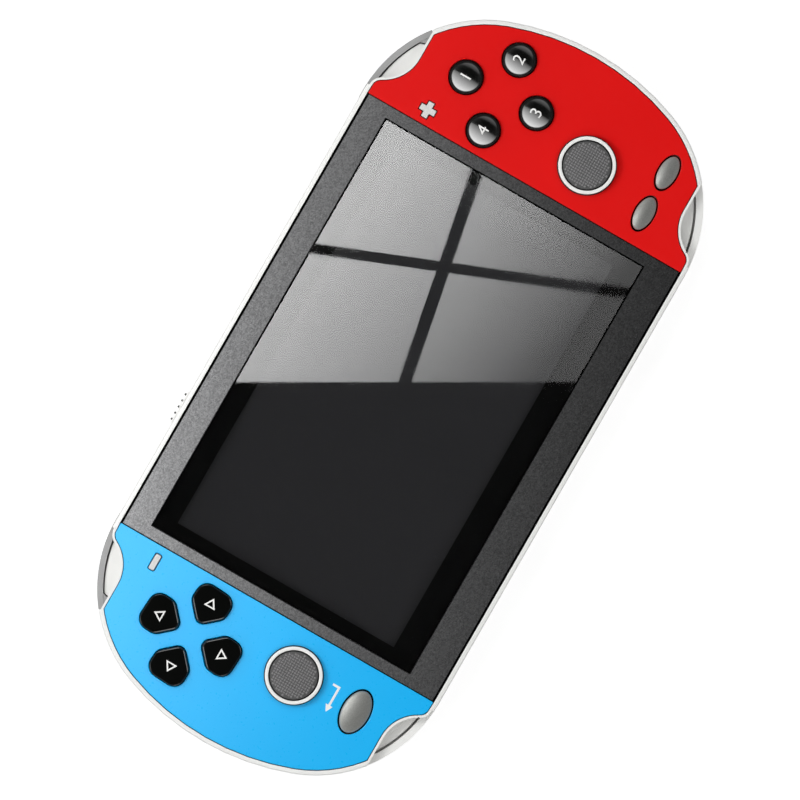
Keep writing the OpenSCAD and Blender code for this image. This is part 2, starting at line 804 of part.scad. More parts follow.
module end_plate_2d() {
    difference() {
        intersection() {
            polygon(outline(rim_w + seam));
            translate([panel_x + seam / 2, -half_w]) square([half_l, body_w]);
        }
        notches_2d(-seam);
    }
}

module left_plate() {
    color("#27BAFB") difference() {
        mirror([1, 0, 0]) rise(plate_z, body_h) end_plate_2d();
        key_holes(split_h);
    }
}

module right_plate() {
    color("#DB1A1A") difference() {
        rise(plate_z, body_h) end_plate_2d();
        key_holes(split_h);
    }
}

module screen_panel() {
    color("#77787A") difference() {
        block(0, 0, plate_z, [panel_l - seam, 2 * (plate_w - panel_gap), plate_t]);
        block(0, lens_y, 0, [lens_l + 2 * seam, lens_w + 2 * seam, 2 * body_h]);
    }
}

module screen_lens() {
    color("#101012", 0.6) block(0, lens_y, lens_z, [lens_l, lens_w, lens_t]);
}

module lens_tape() {
    color("#050505") difference() {
        block(0, lens_y, lens_z - tape_t, [lens_l, lens_w, tape_t]);
        block(0, active_y, 0, [active_l, active_w, body_h]);
    }
}

module lcd_gasket() {
    color("#1A1A1A") difference() {
        block(0, active_y, gasket_z, [active_l + 2 * lcd_border, active_w + 2 * lcd_border, gasket_t]);
        block(0, active_y, 0, [active_l + 2 * window_margin, active_w + 2 * window_margin, body_h]);
    }
}

module lcd_panel() {
    color("#282828")
        block(0, active_y, lcd_z, [active_l + 2 * lcd_border, active_w + 2 * lcd_border, lcd_t]);
}

module lcd_tray() {
    l = active_l + 2 * lcd_border + 2 * seam;
    w = active_w + 2 * lcd_border + 2 * seam;
    color("#B9BCC0") difference() {
        block(0, active_y, tray_z, [l + 2 * tray_t, w + 2 * tray_t, tray_h]);
        block(0, active_y, lcd_z, [l, w, body_h]);
        block(flex_x, active_y - w / 2, lcd_z, [flex_w + 2, 4 * tray_t, body_h]);
    }
}

module lcd_pads() {
    color("#2B2B2B") for (sx = [-1, 1], sy = [-1, 1])
        block(sx * pad_x, active_y + sy * pad_y, board_top, [foam_size.x, foam_size.y, tray_z - board_top]);
}

// Ribbon that leaves the display edge, turns down and runs back to its connector
module lcd_flex() {
    high = lcd_z + lcd_t / 3;
    far = lcd_edge - flex_bow;
    route = [
        [lcd_edge, high], [lcd_edge, high + flex_t], [far, high + flex_t], [far - flex_t, high],
        [far - flex_t, flex_low], [far, flex_low - flex_t], [lcd_edge + flex_bow, flex_low - flex_t],
        [lcd_edge + flex_bow, flex_low], [far, flex_low], [far, high]
    ];
    color("#C88A2E") translate([flex_x - flex_w / 2, 0, 0]) rotate([90, 0, 90])
        linear_extrude(flex_w) polygon(route);
}

module flex_connector() {
    color("#E8E2D0")
        block(flex_x, lcd_edge + flex_bow + connector_l / 2, board_top,
            [flex_w + 2, connector_l, connector_h]);
}

// Key with a rounded top edge: rings are the key's outlines at each step of the edge
module flat_key(rings, low, flange) {
    skin(concat([level_ring(low, flange_top - eps)], rings));
    rise(flange_z, flange_top) polygon(flange);
}

module dpad_key(a) {
    color("#0C0C0D") translate(dpad_c) rotate(dpad_turn + a) flat_key(
        [for (s = edge_steps(dpad_top, edge_r)) level_ring(dpad_outline(-s[0]), s[1])],
        dpad_outline(0), dpad_outline(flange_w)
    );
}

module dpad_up() {
    dpad_key(0);
}

module dpad_left() {
    dpad_key(90);
}

module dpad_down() {
    dpad_key(180);
}

module dpad_right() {
    dpad_key(270);
}

// Round button whose crown is part of a sphere
module round_button(a) {
    ball_r = (pow(button_r, 2) + pow(button_crown, 2)) / (2 * button_crown);
    color("#0C0C0D") translate(button_c) rotate(button_turn + a) translate([button_pitch, 0, 0]) {
        intersection() {
            translate([0, 0, flange_z]) cylinder(r = button_r, h = button_top - flange_z);
            translate([0, 0, button_top - ball_r]) sphere(ball_r, $fn = 128);
        }
        translate([0, 0, flange_z]) cylinder(r = button_r + flange_w, h = flange_t);
    }
}

module button_east() {
    round_button(0);
}

module button_north() {
    round_button(90);
}

module button_west() {
    round_button(180);
}

module button_south() {
    round_button(270);
}

module oval_key(c, l, w) {
    color("#8C908C") translate(c) flat_key(
        [for (s = crown_steps) level_ring(ellipse(l * s, w * s, 0), oval_top - oval_crown * pow(s, 2))],
        ellipse(l, w, 0), ellipse(l, w, flange_w)
    );
}

module back_key() {
    oval_key(back_c, back_l, back_w);
}

module start_key() {
    oval_key(start_c, option_l, option_w);
}

module select_key() {
    oval_key(select_c, option_l, option_w);
}

module volume_up_key() {
    color("#F4F4F2") translate(plus_c) {
        rise(flange_z, volume_top) polygon(cross_outline(0));
        rise(flange_z, flange_top) circle(volume_l / 2 + flange_w);
    }
}

module volume_down_key() {
    top = edge_steps(volume_top, volume_w / 8);
    color("#F4F4F2") translate(minus_c) flat_key(
        [for (s = top) level_ring(bar_outline(-s[0]), s[1])], bar_outline(0), bar_outline(flange_w)
    );
}

// Sheet with four domes that carry the keys of one cluster
module membrane(c, turn, pitch) {
    dome_z = board_top + sheet_t - eps;
    color("#B8B8B4") {
        rise(board_top, board_top + sheet_t) intersection() {
            translate(c) circle(sheet_r);
            polygon(outline(wall + board_gap));
        }
        for (a = [0 : 90 : 270]) translate([c.x, c.y, dome_z]) rotate(turn + a) translate([pitch, 0, 0])
            cylinder(r1 = dome_r, r2 = dome_r * 0.6, h = dome_top - dome_z);
    }
}

module dpad_membrane() {
    membrane(dpad_c, dpad_turn, dpad_tip + dpad_key_l / 2);
}

module button_membrane() {
    membrane(button_c, button_turn, button_pitch);
}

module small_domes() {
    color("#B8B8B4") for (c = [back_c, start_c, select_c, minus_c, plus_c])
        translate([c.x, c.y, board_top])
            cylinder(r1 = small_dome_r, r2 = small_dome_r * 0.6, h = dome_top - board_top);
}

// Tray in which the slide runs along X
module stick_base(s) {
    color("#17181A") difference() {
        block(s * stick_c.x, stick_c.y, base_z, [base_w, base_w, cover_z - base_z]);
        block(s * stick_c.x, stick_c.y, base_z + base_t, [well_w, well_w, body_h]);
    }
}

// Slide that moves along X and guides the foot along Y
module stick_slide(s) {
    color("#D9D9D6") difference() {
        block(s * stick_c.x, stick_c.y, slide_z, [slide_l, well_w - 2 * run_gap, slide_t]);
        block(s * stick_c.x, stick_c.y, 0,
            [lug_w + 2 * run_gap, lug_w + 2 * stick_travel + 2 * run_gap, body_h]);
    }
}

// Head, stem and foot that move along Y in the slide
module stick_post(s) {
    color("#17181A") {
        translate([s * stick_c.x, stick_c.y, stick_z]) cylinder(r = ring_r - ring_w - run_gap / 3, h = head_t);
        translate([s * stick_c.x, stick_c.y, foot_z]) cylinder(r = stem_r, h = stick_z + eps - foot_z);
        block(s * stick_c.x, stick_c.y, foot_z, [foot_l, foot_l, foot_t]);
        block(s * stick_c.x, stick_c.y, slide_z, [lug_w, lug_w, foot_z + eps - slide_z]);
    }
}

module stick_ring(s) {
    r0 = ring_r - ring_w;
    bevel = ring_w / 4;
    color("#F4F4F2") translate([s * stick_c.x, stick_c.y, stick_z]) rotate_extrude($fn = 96) polygon([
        [r0, 0], [ring_r, 0], [ring_r, ring_h - bevel], [ring_r - bevel, ring_h], [r0 + bevel, ring_h],
        [r0, ring_h - bevel]
    ]);
}

module stick_cap(s) {
    cap_r = ring_r - ring_w - cap_gap;
    crown = [for (i = [0 : round_steps]) let (x = 1 - i / round_steps) [x * cap_r, cap_t - cap_crown * x * x]];
    color("#6E6E6E") translate([s * stick_c.x, stick_c.y, stick_z + head_t])
        rotate_extrude($fn = 96) polygon(concat([[0, 0], [cap_r, 0]], crown));
}

module left_stick_base() {
    stick_base(-1);
}

module right_stick_base() {
    stick_base(1);
}

module left_stick_slide() {
    stick_slide(-1);
}

module right_stick_slide() {
    stick_slide(1);
}

module left_stick_post() {
    stick_post(-1);
}

module right_stick_post() {
    stick_post(1);
}

module left_stick_ring() {
    stick_ring(-1);
}

module right_stick_ring() {
    stick_ring(1);
}

module left_stick_cap() {
    stick_cap(-1);
}

module right_stick_cap() {
    stick_cap(1);
}

module stick_covers() {
    color("#B9BCC0") both() difference() {
        block(stick_c.x, stick_c.y, cover_z, [base_w, base_w, cover_t]);
        translate([stick_c.x, stick_c.y, 0]) cylinder(r = stem_hole_r, h = body_h);
    }
}

module shoulder() {
    color("#8F8F8F") difference() {
        union() {
            rise(split_h + shoulder_gap, shoulder_top) polygon(shoulder_bar(0));
            rise(eye_z, shoulder_top - shoulder_gap) {
                translate(pin_c) circle(eye_r);
                polygon(shoulder_arm(0));
            }
        }
        translate([pin_c.x, pin_c.y, 0]) cylinder(r = pin_r + pin_gap, h = body_h);
    }
}

module right_shoulder() {
    shoulder();
}

module left_shoulder() {
    mirror([1, 0, 0]) shoulder();
}

module shoulder_pins() {
    z0 = split_h - pin_seat;
    color("#C8CACC") both() translate([pin_c.x, pin_c.y, z0])
        cylinder(r = pin_r, h = deck_z + pin_seat - flange_gap - z0);
}

// Side switches whose plungers face the shoulder bars through the wall behind them
module shoulder_switches() {
    color("#26272A") both() {
        block(corner_x, switch_y - switch_w / 2, board_top, [switch_l, switch_w, switch_h]);
        translate([corner_x - plunger_w / 2, switch_y - eps, board_top + (switch_h - plunger_h) / 2])
            cube([plunger_w, plunger_y - switch_y, plunger_h]);
    }
}

// Ribbed slide with a neck that reaches into the switch
module power_slider() {
    pitch = power_l / power_ribs;
    rib_share = 0.3;
    low = [-power_x - power_l / 2, half_w - power_sunk, power_z - power_h / 2];
    color("#EDEDEB") {
        translate(low) cube([power_l, power_sunk + power_proud / 2, power_h]);
        for (i = [0 : power_ribs - 1])
            translate([low.x + (i + (1 - rib_share) / 2) * pitch, half_w + power_proud / 2 - eps, low.z])
                cube([pitch * rib_share, power_proud / 2 + eps, power_h]);
        translate([-power_x - neck_w / 2, power_back_y, power_z - neck_w / 2])
            cube([neck_w, half_w - power_sunk + eps - power_back_y, neck_w]);
    }
}

module power_switch() {
    x = -power_x + power_travel / 2;
    slot_l = neck_w + power_travel + 4 * socket_gap;
    front_y = power_back_y + neck_seat;
    color("#B9BCC0") difference() {
        block(x, front_y - power_body_w / 2, board_top,
            [slot_l + 2 * wall, power_body_w, power_lift + neck_w / 2 + wall / 2]);
        block(x, front_y, power_z - neck_w / 2 - socket_gap, [slot_l, 4 * neck_seat, neck_w + 2 * socket_gap]);
    }
}

module main_board() {
    color("#1F6B43") difference() {
        rise(board_z, board_top) difference() {
            polygon(outline(wall + board_gap));
            both() {
                shoulder_sweep_2d(shoulder_gap + web + board_gap);
                translate(pin_c) circle(eye_r + 2 * board_gap);
            }
        }
        for (p = case_points) translate([p.x, p.y, 0]) cylinder(r = boss_r + board_gap, h = body_h);
        for (p = post_points) translate([p.x, p.y, 0]) cylinder(r = screw_r + screw_gap, h = body_h);
        block(jack_x, -half_w, 0, [jack_w + 2 * socket_gap, 2 * (jack_l + socket_gap), body_h]);
    }
}

module chips() {
    color("#141416") for (c = chip_list) block(c[0], c[1], board_top, [c[2], c[3], c[4]]);
}

module board_screws() {
    color("#C8CACC") for (p = post_points) translate([p.x, p.y, 0]) {
        translate([0, 0, pilot_z + screw_gap])
            cylinder(r = screw_r - pin_gap, h = board_top - pilot_z - screw_gap);
        difference() {
            translate([0, 0, board_top]) cylinder(r = head_r, h = head_h);
            cross_slot(board_top + head_h / 2, body_h);
        }
    }
}

module cross_slot(z0, h) {
    for (a = [0, 90]) rotate(a) block(0, 0, z0, [head_r * 1.3, head_r / 4, h]);
}

module case_screws() {
    color("#C8CACC") for (p = case_points) translate([p.x, p.y, 0]) {
        translate([0, 0, recess_d - eps]) cylinder(r = screw_r, h = screw_top - recess_d);
        difference() {
            translate([0, 0, recess_d - head_h - eps]) cylinder(r = head_r, h = head_h);
            cross_slot(-over, over + recess_d - head_h / 2);
        }
    }
}

module battery() {
    color("#D8D8DC") block(0, 0, wall, [battery_l, battery_w, battery_t]);
}

module battery_connector() {
    color("#EFEADB") block(battery_l / 2 + lead_gap + plug_size.x / 2, 0, board_z - plug_size.z, plug_size);
}

module battery_lead() {
    color("#C22222") for (y = [-1, 1]) translate([battery_l / 2, y, board_z - plug_size.z / 2])
        rotate([0, 90, 0]) cylinder(r = lead_r, h = lead_gap);
}

module speakers() {
    color("#1B1C1E") both() translate([speaker_c.x, speaker_c.y, wall]) {
        cylinder(r = speaker_r, h = speaker_h * 0.6);
        cylinder(r = speaker_r * 0.6, h = speaker_h);
    }
}

module camera_module() {
    color("#17181A") translate([camera_c.x, camera_c.y, 0]) {
        block(0, 0, wall, [camera_w, camera_w, camera_h]);
        translate([0, 0, camera_t + seam]) cylinder(r = camera_bore_r - seam, h = wall - camera_t);
    }
}

module camera_window() {
    color("#0A0A0C") translate([camera_c.x, camera_c.y, seam / 2]) cylinder(r = camera_r, h = camera_t);
}

module usb_socket() {
    shell = 0.4;
    color("#C8CACC") difference() {
        block(usb_x, -half_w + usb_l / 2 + socket_gap, board_top, [usb_w, usb_l, usb_h]);
        difference() {
            block(usb_x, -half_w + usb_l / 2 + socket_gap - 1, board_top + shell,
                [usb_w - 2 * shell, usb_l, usb_h - 2 * shell]);
            block(usb_x, -half_w + usb_l / 2 + 1, board_top + usb_h / 2 - 0.5, [usb_w - 3, usb_l, 1]);
        }
    }
}

module earphone_jack() {
    body_top = jack_z + jack_nose_r;
    inner = wall + socket_gap;
    color("#17181A") difference() {
        union() {
            block(jack_x, -half_w + inner + (jack_l - inner) / 2, jack_z - jack_nose_r,
                [jack_w, jack_l - inner, body_top - jack_z + jack_nose_r]);
            translate([jack_x, -half_w, jack_z]) rotate([-90, 0, 0]) cylinder(r = jack_nose_r, h = inner + 1);
        }
        translate([jack_x, -half_w - eps, jack_z]) rotate([-90, 0, 0])
            cylinder(r = jack_bore_r, h = jack_l - 1);
    }
}

module card_socket() {
    y = -half_w + wall + socket_gap + card_l / 2;
    color("#C8CACC") difference() {
        block(card_x, y, board_top, [card_w, card_l, card_h]);
        block(card_x, y - 1, board_top + (card_h - card_slot_h) / 2, [card_slot_w, card_l, card_slot_h]);
    }
}

front_shell();
rear_shell();
left_plate();
right_plate();
screen_panel();
screen_lens();
lens_tape();
lcd_gasket();
lcd_panel();
lcd_tray();
lcd_pads();
lcd_flex();
flex_connector();
dpad_up();
dpad_down();
dpad_left();
dpad_right();
button_north();
button_east();
button_south();
button_west();
back_key();
start_key();
select_key();
volume_up_key();
volume_down_key();
dpad_membrane();
button_membrane();
small_domes();
left_stick_base();
left_stick_slide();
left_stick_post();
left_stick_ring();
left_stick_cap();
right_stick_base();
right_stick_slide();
right_stick_post();
right_stick_ring();
right_stick_cap();
stick_covers();
left_shoulder();
right_shoulder();
shoulder_pins();
shoulder_switches();
power_slider();
power_switch();
main_board();
chips();
board_screws();
case_screws();
battery();
battery_lead();
battery_connector();
speakers();
camera_module();
camera_window();
usb_socket();
earphone_jack();
card_socket();
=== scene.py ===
import json
import math

import bmesh
import bpy
from mathutils import Matrix, Vector


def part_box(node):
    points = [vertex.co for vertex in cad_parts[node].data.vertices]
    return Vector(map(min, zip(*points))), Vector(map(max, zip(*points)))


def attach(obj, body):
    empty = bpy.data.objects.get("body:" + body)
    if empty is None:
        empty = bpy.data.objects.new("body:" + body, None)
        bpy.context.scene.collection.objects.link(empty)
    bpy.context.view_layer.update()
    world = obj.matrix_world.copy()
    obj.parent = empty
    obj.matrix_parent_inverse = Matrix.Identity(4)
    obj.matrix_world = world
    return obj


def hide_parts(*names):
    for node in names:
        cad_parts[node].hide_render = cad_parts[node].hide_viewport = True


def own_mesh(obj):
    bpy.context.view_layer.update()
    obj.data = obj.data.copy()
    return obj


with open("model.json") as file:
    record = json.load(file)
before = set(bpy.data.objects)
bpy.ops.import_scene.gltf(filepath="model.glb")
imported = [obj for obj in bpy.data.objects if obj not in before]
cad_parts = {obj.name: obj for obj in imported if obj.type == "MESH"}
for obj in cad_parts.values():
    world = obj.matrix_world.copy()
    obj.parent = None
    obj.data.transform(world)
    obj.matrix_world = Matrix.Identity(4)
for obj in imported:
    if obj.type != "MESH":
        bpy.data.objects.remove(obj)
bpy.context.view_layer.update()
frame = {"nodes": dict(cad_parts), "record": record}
nodes = frame["nodes"]
record = frame["record"]
slotOf = {row["node"]: row["material_slot"] for row in record["subparts"]}
scene = bpy.context.scene
mm = 0.001
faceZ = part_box("left_plate")[1].z  # top of the coloured plates, the face of the console
print("frame loaded:", len(nodes), "nodes")


def linear(hexText):
    channels = [int(hexText[i:i + 2], 16) / 255 for i in (1, 3, 5)]
    return [c / 12.92 if c <= 0.04045 else ((c + 0.055) / 1.055) ** 2.4 for c in channels] + [1.0]


def addNode(tree, kind, inputs=None, **settings):
    node = tree.nodes.new(kind)
    for name, value in settings.items():
        setattr(node, name, value)
    for key, value in (inputs or {}).items():
        if isinstance(value, bpy.types.NodeSocket):
            tree.links.new(value, node.inputs[key])
        else:
            node.inputs[key].default_value = value
    return node


def emptyTree(owner):
    owner.use_nodes = True
    owner.node_tree.nodes.clear()
    return owner.node_tree


# Materials

# What every moulded or painted finish shares: two shades mottled over mottle mm, and a skin of grain mm
# with depth mm. The grains are drawn coarser than the real ones, which are finer than a pixel.
finishes = {
    # white ABS from a polished mould: clean satin gloss, soft light rolls along the rims
    "whiteAbs": dict(shades=("#F2F2F0", "#ECECE9"), roughness=(0.30, 0.40), ior=1.54,
                     grain=0.5, depth=0.004, mottle=14),
    # sprayed blue on ABS, clear-coated: even colour, faint orange peel in the reflections
    "bluePaint": dict(shades=("#02B0F3", "#08B4F5"), roughness=(0.27, 0.31), ior=1.52,
                      grain=0.7, depth=0.003, mottle=10),
    # the same spray in red
    "redPaint": dict(shades=("#DC0404", "#E10A08"), roughness=(0.36, 0.46), ior=1.42,
                     grain=0.7, depth=0.005, mottle=10),
    # black ABS, polished: deep and mirror-like, so the keys show only their highlights
    "blackAbs": dict(shades=("#080908", "#0E0F0E"), roughness=(0.10, 0.16), ior=1.54,
                     grain=0.4, depth=0.002, mottle=5),
    # the same ABS left matt by the mould: the dead black edge round each polished dome; also painted shade
    # on the panel's edges
    "mattBlackAndEdgeShade": dict(shades=("#060606", "#0A0A0A"), roughness=(0.6, 0.72), ior=1.15,
                      grain=0.3, depth=0.004, mottle=3),
    # grey ABS, satin mould: soft wide highlight along the shoulder bars
    "greyAbs": dict(shades=("#9C9C9C", "#A6A6A6"), roughness=(0.32, 0.42), ior=1.54,
                    grain=0.4, depth=0.004, mottle=6),
    # moulded rubber, dull: no sharp reflection at all; drawn dark as painted shade in the caps' grooves and
    # on the slide's ribs
    "shadedRubber": dict(shades=("#4C4C4C", "#565656"), roughness=(0.62, 0.78), ior=1.52,
                       grain=0.25, depth=0.006, mottle=3),
    # the same rubber drawn paler on the studs of the caps, a painted highlight on their tops
    "litStudRubber": dict(shades=("#7C7B7C", "#888788"), roughness=(0.5, 0.66), ior=1.52,
                       grain=0.2, depth=0.004, mottle=3),
    # light silver paint of the two small volume keys: satin, nearly white
    "palePaint": dict(shades=("#D2D1CF", "#DEDDDB"), roughness=(0.3, 0.42), ior=1.5,
                      grain=0.3, depth=0.003, mottle=2),
    # pad-printed white ink: opaque, matt
    "whiteInk": dict(shades=("#F4F4F2", "#EAEAE8"), roughness=(0.45, 0.6), ior=1.48,
                     grain=0.2, depth=0.002, mottle=2),
    # black double-sided tape and mask behind the lens: matt, almost no light back; also painted shade in
    # the plate seams
    "blackMaskAndSeamShade": dict(shades=("#030303", "#050505"), roughness=(0.6, 0.75), ior=1.15,
                      grain=0.3, depth=0.003, mottle=6),
    # polariser of the switched-off display: dark neutral grey, fine matt
    "displayFilm": dict(shades=("#38383A", "#3A3A3C"), roughness=(0.5, 0.6), ior=1.15,
                        grain=0.3, depth=0.002, mottle=20),
    # clear silicone of the key mats: milky, soft sheen
    "silicone": dict(shades=("#C9CCCB", "#D4D6D5"), roughness=(0.45, 0.6), ior=1.41,
                     grain=0.4, depth=0.005, mottle=5),
    # black glass-filled nylon of the inner holders
    "blackNylon": dict(shades=("#131314", "#1C1C1D"), roughness=(0.45, 0.6), ior=1.53,
                       grain=0.3, depth=0.008, mottle=4),
    # white acetal of the sliding feet: waxy
    "acetal": dict(shades=("#E4E3DD", "#DDDCD5"), roughness=(0.3, 0.42), ior=1.48,
                   grain=0.4, depth=0.004, mottle=6),
    # solder mask over glass fibre: green gloss with the weave faintly through
    "solderMask": dict(shades=("#0D4A2A", "#115733"), roughness=(0.25, 0.38), ior=1.5,
                       grain=0.6, depth=0.008, mottle=2),
    # moulded epoxy of the chips: dull black
    "moulding": dict(shades=("#161617", "#202021"), roughness=(0.5, 0.65), ior=1.55,
                     grain=0.2, depth=0.006, mottle=3),
    # closed-cell foam: matt black, pitted
    "blackFoam": dict(shades=("#101010", "#1B1B1B"), roughness=(0.8, 0.95), ior=1.45,
                      grain=0.5, depth=0.04, mottle=1.5),
    # polyimide ribbon: amber, glossy
    "polyimide": dict(shades=("#A0641C", "#B8762A"), roughness=(0.25, 0.35), ior=1.65,
                      grain=0.5, depth=0.003, mottle=4),
    # ivory nylon of the plugs
    "ivoryNylon": dict(shades=("#DED8C6", "#E6E1D2"), roughness=(0.4, 0.5), ior=1.53,
                       grain=0.3, depth=0.004, mottle=4),
    # red PVC of the battery lead
    "redPvc": dict(shades=("#A81414", "#B82020"), roughness=(0.35, 0.45), ior=1.53,
                   grain=0.3, depth=0.003, mottle=4),
}
# Metals and metal-flake paints keep the default IOR. Flakes are drawn at about a third of a millimetre,
# ten times the real ones, so that they still show as the fine sparkle of the photograph.
metals = {
    # grey metal-flake lacquer of the screen panel: bright where it mirrors the lamp, dark away from it
    "flakeLacquer": dict(shades=("#6C6C6D", "#8C8C8D"), roughness=(0.24, 0.32), metallic=1.0,
                         flake=0.26, depth=0.008),
    # finer silver lacquer of the oval keys
    "silverLacquer": dict(shades=("#A8A9A5", "#B8B9B5"), roughness=(0.46, 0.54), metallic=0.8,
                          flake=0.16, depth=0.003),
    # nickel-plated steel of screws, pins and sockets
    "nickelSteel": dict(shades=("#A9A6A0", "#B9B6B0"), roughness=(0.24, 0.34), metallic=1.0,
                        flake=0.2, depth=0.003),
    # aluminium laminate round the battery
    "foilLaminate": dict(shades=("#B4B5B8", "#C4C5C8"), roughness=(0.3, 0.45), metallic=0.85,
                         flake=0.9, depth=0.02),
}
clears = {
    # cast acrylic window, hard-coated: clear, with the studio window mirrored in it
    "clearAcrylic": dict(tint="#FFFFFF", roughness=(0.0, 0.015), ior=1.49, smear=30),
    # the small rear window is smoked
    "smokedAcrylic": dict(tint="#8C8C90", roughness=(0.0, 0.03), ior=1.49, smear=4),
}
noiseSpan = (0.3, 0.7)  # most values of a noise texture lie between these


def newMaterial(name, sockets):
    material = bpy.data.materials.new(name)
    tree = emptyTree(material)
    shader = addNode(tree, "ShaderNodeBsdfPrincipled", sockets)
    addNode(tree, "ShaderNodeOutputMaterial", {"Surface": shader.outputs[0]})
    coords = addNode(tree, "ShaderNodeTexCoord").outputs["Object"]
    return material, tree, shader, coords


def mouldedFinish(name, shades, roughness, ior, grain, depth, mottle):
    material, tree, shader, coords = newMaterial(name, {"IOR": ior})
    patches = addNode(tree, "ShaderNodeTexNoise", {
        "Vector": coords, "Scale": 1 / (mottle * mm), "Detail": 2.0})
    skin = addNode(tree, "ShaderNodeTexNoise", {
        "Vector": coords, "Scale": 1 / (grain * mm), "Detail": 3.0})
    colour = addNode(tree, "ShaderNodeMix", {"Factor": patches.outputs[0]}, data_type="RGBA")
    colour.inputs["A"].default_value = linear(shades[0])
    colour.inputs["B"].default_value = linear(shades[1])
    sheen = addNode(tree, "ShaderNodeMapRange", {
        "Value": skin.outputs[0], "From Min": noiseSpan[0], "From Max": noiseSpan[1],
        "To Min": roughness[0], "To Max": roughness[1]})
    bump = addNode(tree, "ShaderNodeBump", {
        "Height": skin.outputs[0], "Strength": 0.5, "Distance": depth * mm})
    tree.links.new(colour.outputs["Result"], shader.inputs["Base Color"])
    tree.links.new(sheen.outputs[0], shader.inputs["Roughness"])
    tree.links.new(bump.outputs[0], shader.inputs["Normal"])
    return material


def flakeFinish(name, shades, roughness, metallic, flake, depth):
    material, tree, shader, coords = newMaterial(name, {"Metallic": metallic})
    flakes = addNode(tree, "ShaderNodeTexVoronoi", {"Vector": coords, "Scale": 1 / (flake * mm)})
    shine = addNode(tree, "ShaderNodeSeparateColor", {"Color": flakes.outputs["Color"]})
    colour = addNode(tree, "ShaderNodeMix", {"Factor": shine.outputs[0]}, data_type="RGBA")
    colour.inputs["A"].default_value = linear(shades[0])
    colour.inputs["B"].default_value = linear(shades[1])
    sheen = addNode(tree, "ShaderNodeMapRange", {
        "Value": shine.outputs[1], "To Min": roughness[0], "To Max": roughness[1]})
    bump = addNode(tree, "ShaderNodeBump", {
        "Height": shine.outputs[2], "Strength": 0.4, "Distance": depth * mm})
    tree.links.new(colour.outputs["Result"], shader.inputs["Base Color"])
    tree.links.new(sheen.outputs[0], shader.inputs["Roughness"])
    tree.links.new(bump.outputs[0], shader.inputs["Normal"])
    return material


def clearFinish(name, tint, roughness, ior, smear):
    # a faint smear of uneven polish, so that the reflections aren't computer-perfect
    material, tree, shader, coords = newMaterial(name, {
        "Base Color": linear(tint), "IOR": ior, "Transmission Weight": 1.0})
    wipe = addNode(tree, "ShaderNodeTexNoise", {
        "Vector": coords, "Scale": 1 / (smear * mm), "Detail": 2.0})
    sheen = addNode(tree, "ShaderNodeMapRange", {
        "Value": wipe.outputs[0], "From Min": noiseSpan[0], "From Max": noiseSpan[1],
        "To Min": roughness[0], "To Max": roughness[1]})
    tree.links.new(sheen.outputs[0], shader.inputs["Roughness"])
    return material


looks = {name: mouldedFinish(name, **finish) for name, finish in finishes.items()}
looks.update({name: flakeFinish(name, **finish) for name, finish in metals.items()})
looks.update({name: clearFinish(name, **finish) for name, finish in clears.items()})
lookOfSlot = {
    "white_case": "whiteAbs", "blue_plate": "bluePaint", "red_plate": "redPaint",
    "grey_panel": "flakeLacquer", "clear_lens": "clearAcrylic", "black_tape": "blackMaskAndSeamShade",
    "display_glass": "displayFilm", "key_black": "blackAbs", "key_grey": "silverLacquer",
    "key_white": "palePaint", "shoulder_grey": "greyAbs", "stick_grey": "shadedRubber",
    "silicone": "silicone", "black_plastic": "blackNylon", "acetal": "acetal", "steel": "nickelSteel",
    "board_green": "solderMask", "chip_black": "moulding", "foam_black": "blackFoam",
    "flex_amber": "polyimide", "connector_ivory": "ivoryNylon", "battery_foil": "foilLaminate",
    "wire_red": "redPvc", "camera_glass": "smokedAcrylic",
}
print("materials:", len(looks))


# Camera, square above the face and turned as in the photograph

shot = dict(turn=-60.10, away=1600, aim=(-0.52, -0.14), width=172.8, sensor=36.0, farM=20)

cameraData = bpy.data.cameras.new("shot")
cameraData.sensor_width = shot["sensor"]
cameraData.lens = shot["sensor"] * shot["away"] / shot["width"]
cameraData.clip_end = shot["farM"]
camera = bpy.data.objects.new("shot", cameraData)
scene.collection.objects.link(camera)
camera.location = (shot["aim"][0] * mm, shot["aim"][1] * mm, faceZ + shot["away"] * mm)
camera.rotation_euler = (0, 0, math.radians(shot["turn"]))
scene.camera = camera


# Making of pieces

made = []
nearly = 1e-7  # points closer than this, in metres, are one point


def place(name, mesh, look, body, replaced=()):
    piece = bpy.data.objects.new(name, mesh)
    scene.collection.objects.link(piece)
    if look and not mesh.materials:
        mesh.materials.append(looks[look])
    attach(piece, body)
    if replaced:
        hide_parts(*replaced)
    made.append(name)
    return piece


def smoothed(mesh, angle=40):
    mesh.shade_smooth()
    mesh.set_sharp_from_angle(angle=math.radians(angle))
    return mesh


def baked(piece):
    graph = bpy.context.evaluated_depsgraph_get()
    mesh = bpy.data.meshes.new_from_object(piece.evaluated_get(graph))
    bpy.data.objects.remove(piece)
    return mesh


def meshFrom(bm, name):
    mesh = bpy.data.meshes.new(name)
    bm.to_mesh(mesh)
    bm.free()
    return mesh


def withoutNormals(mesh):
    # drops stored normals, so that the shading follows the shape
    if "custom_normal" in mesh.attributes:
        mesh.attributes.remove(mesh.attributes["custom_normal"])
    return mesh


def sliceAt(bm, spot, way, **cleared):
    bmesh.ops.bisect_plane(bm, geom=bm.verts[:] + bm.edges[:] + bm.faces[:], dist=nearly,
                           plane_co=spot, plane_no=way, **cleared)


def extrude(bm, height):
    wall = bmesh.ops.extrude_face_region(bm, geom=bm.faces[:])
    for v in wall["geom"]:
        if isinstance(v, bmesh.types.BMVert):
            v.co.z += height


soft = dict(merge=0.002, flat=0.5, angle=35, segments=2, weight=80)  # mm and degrees


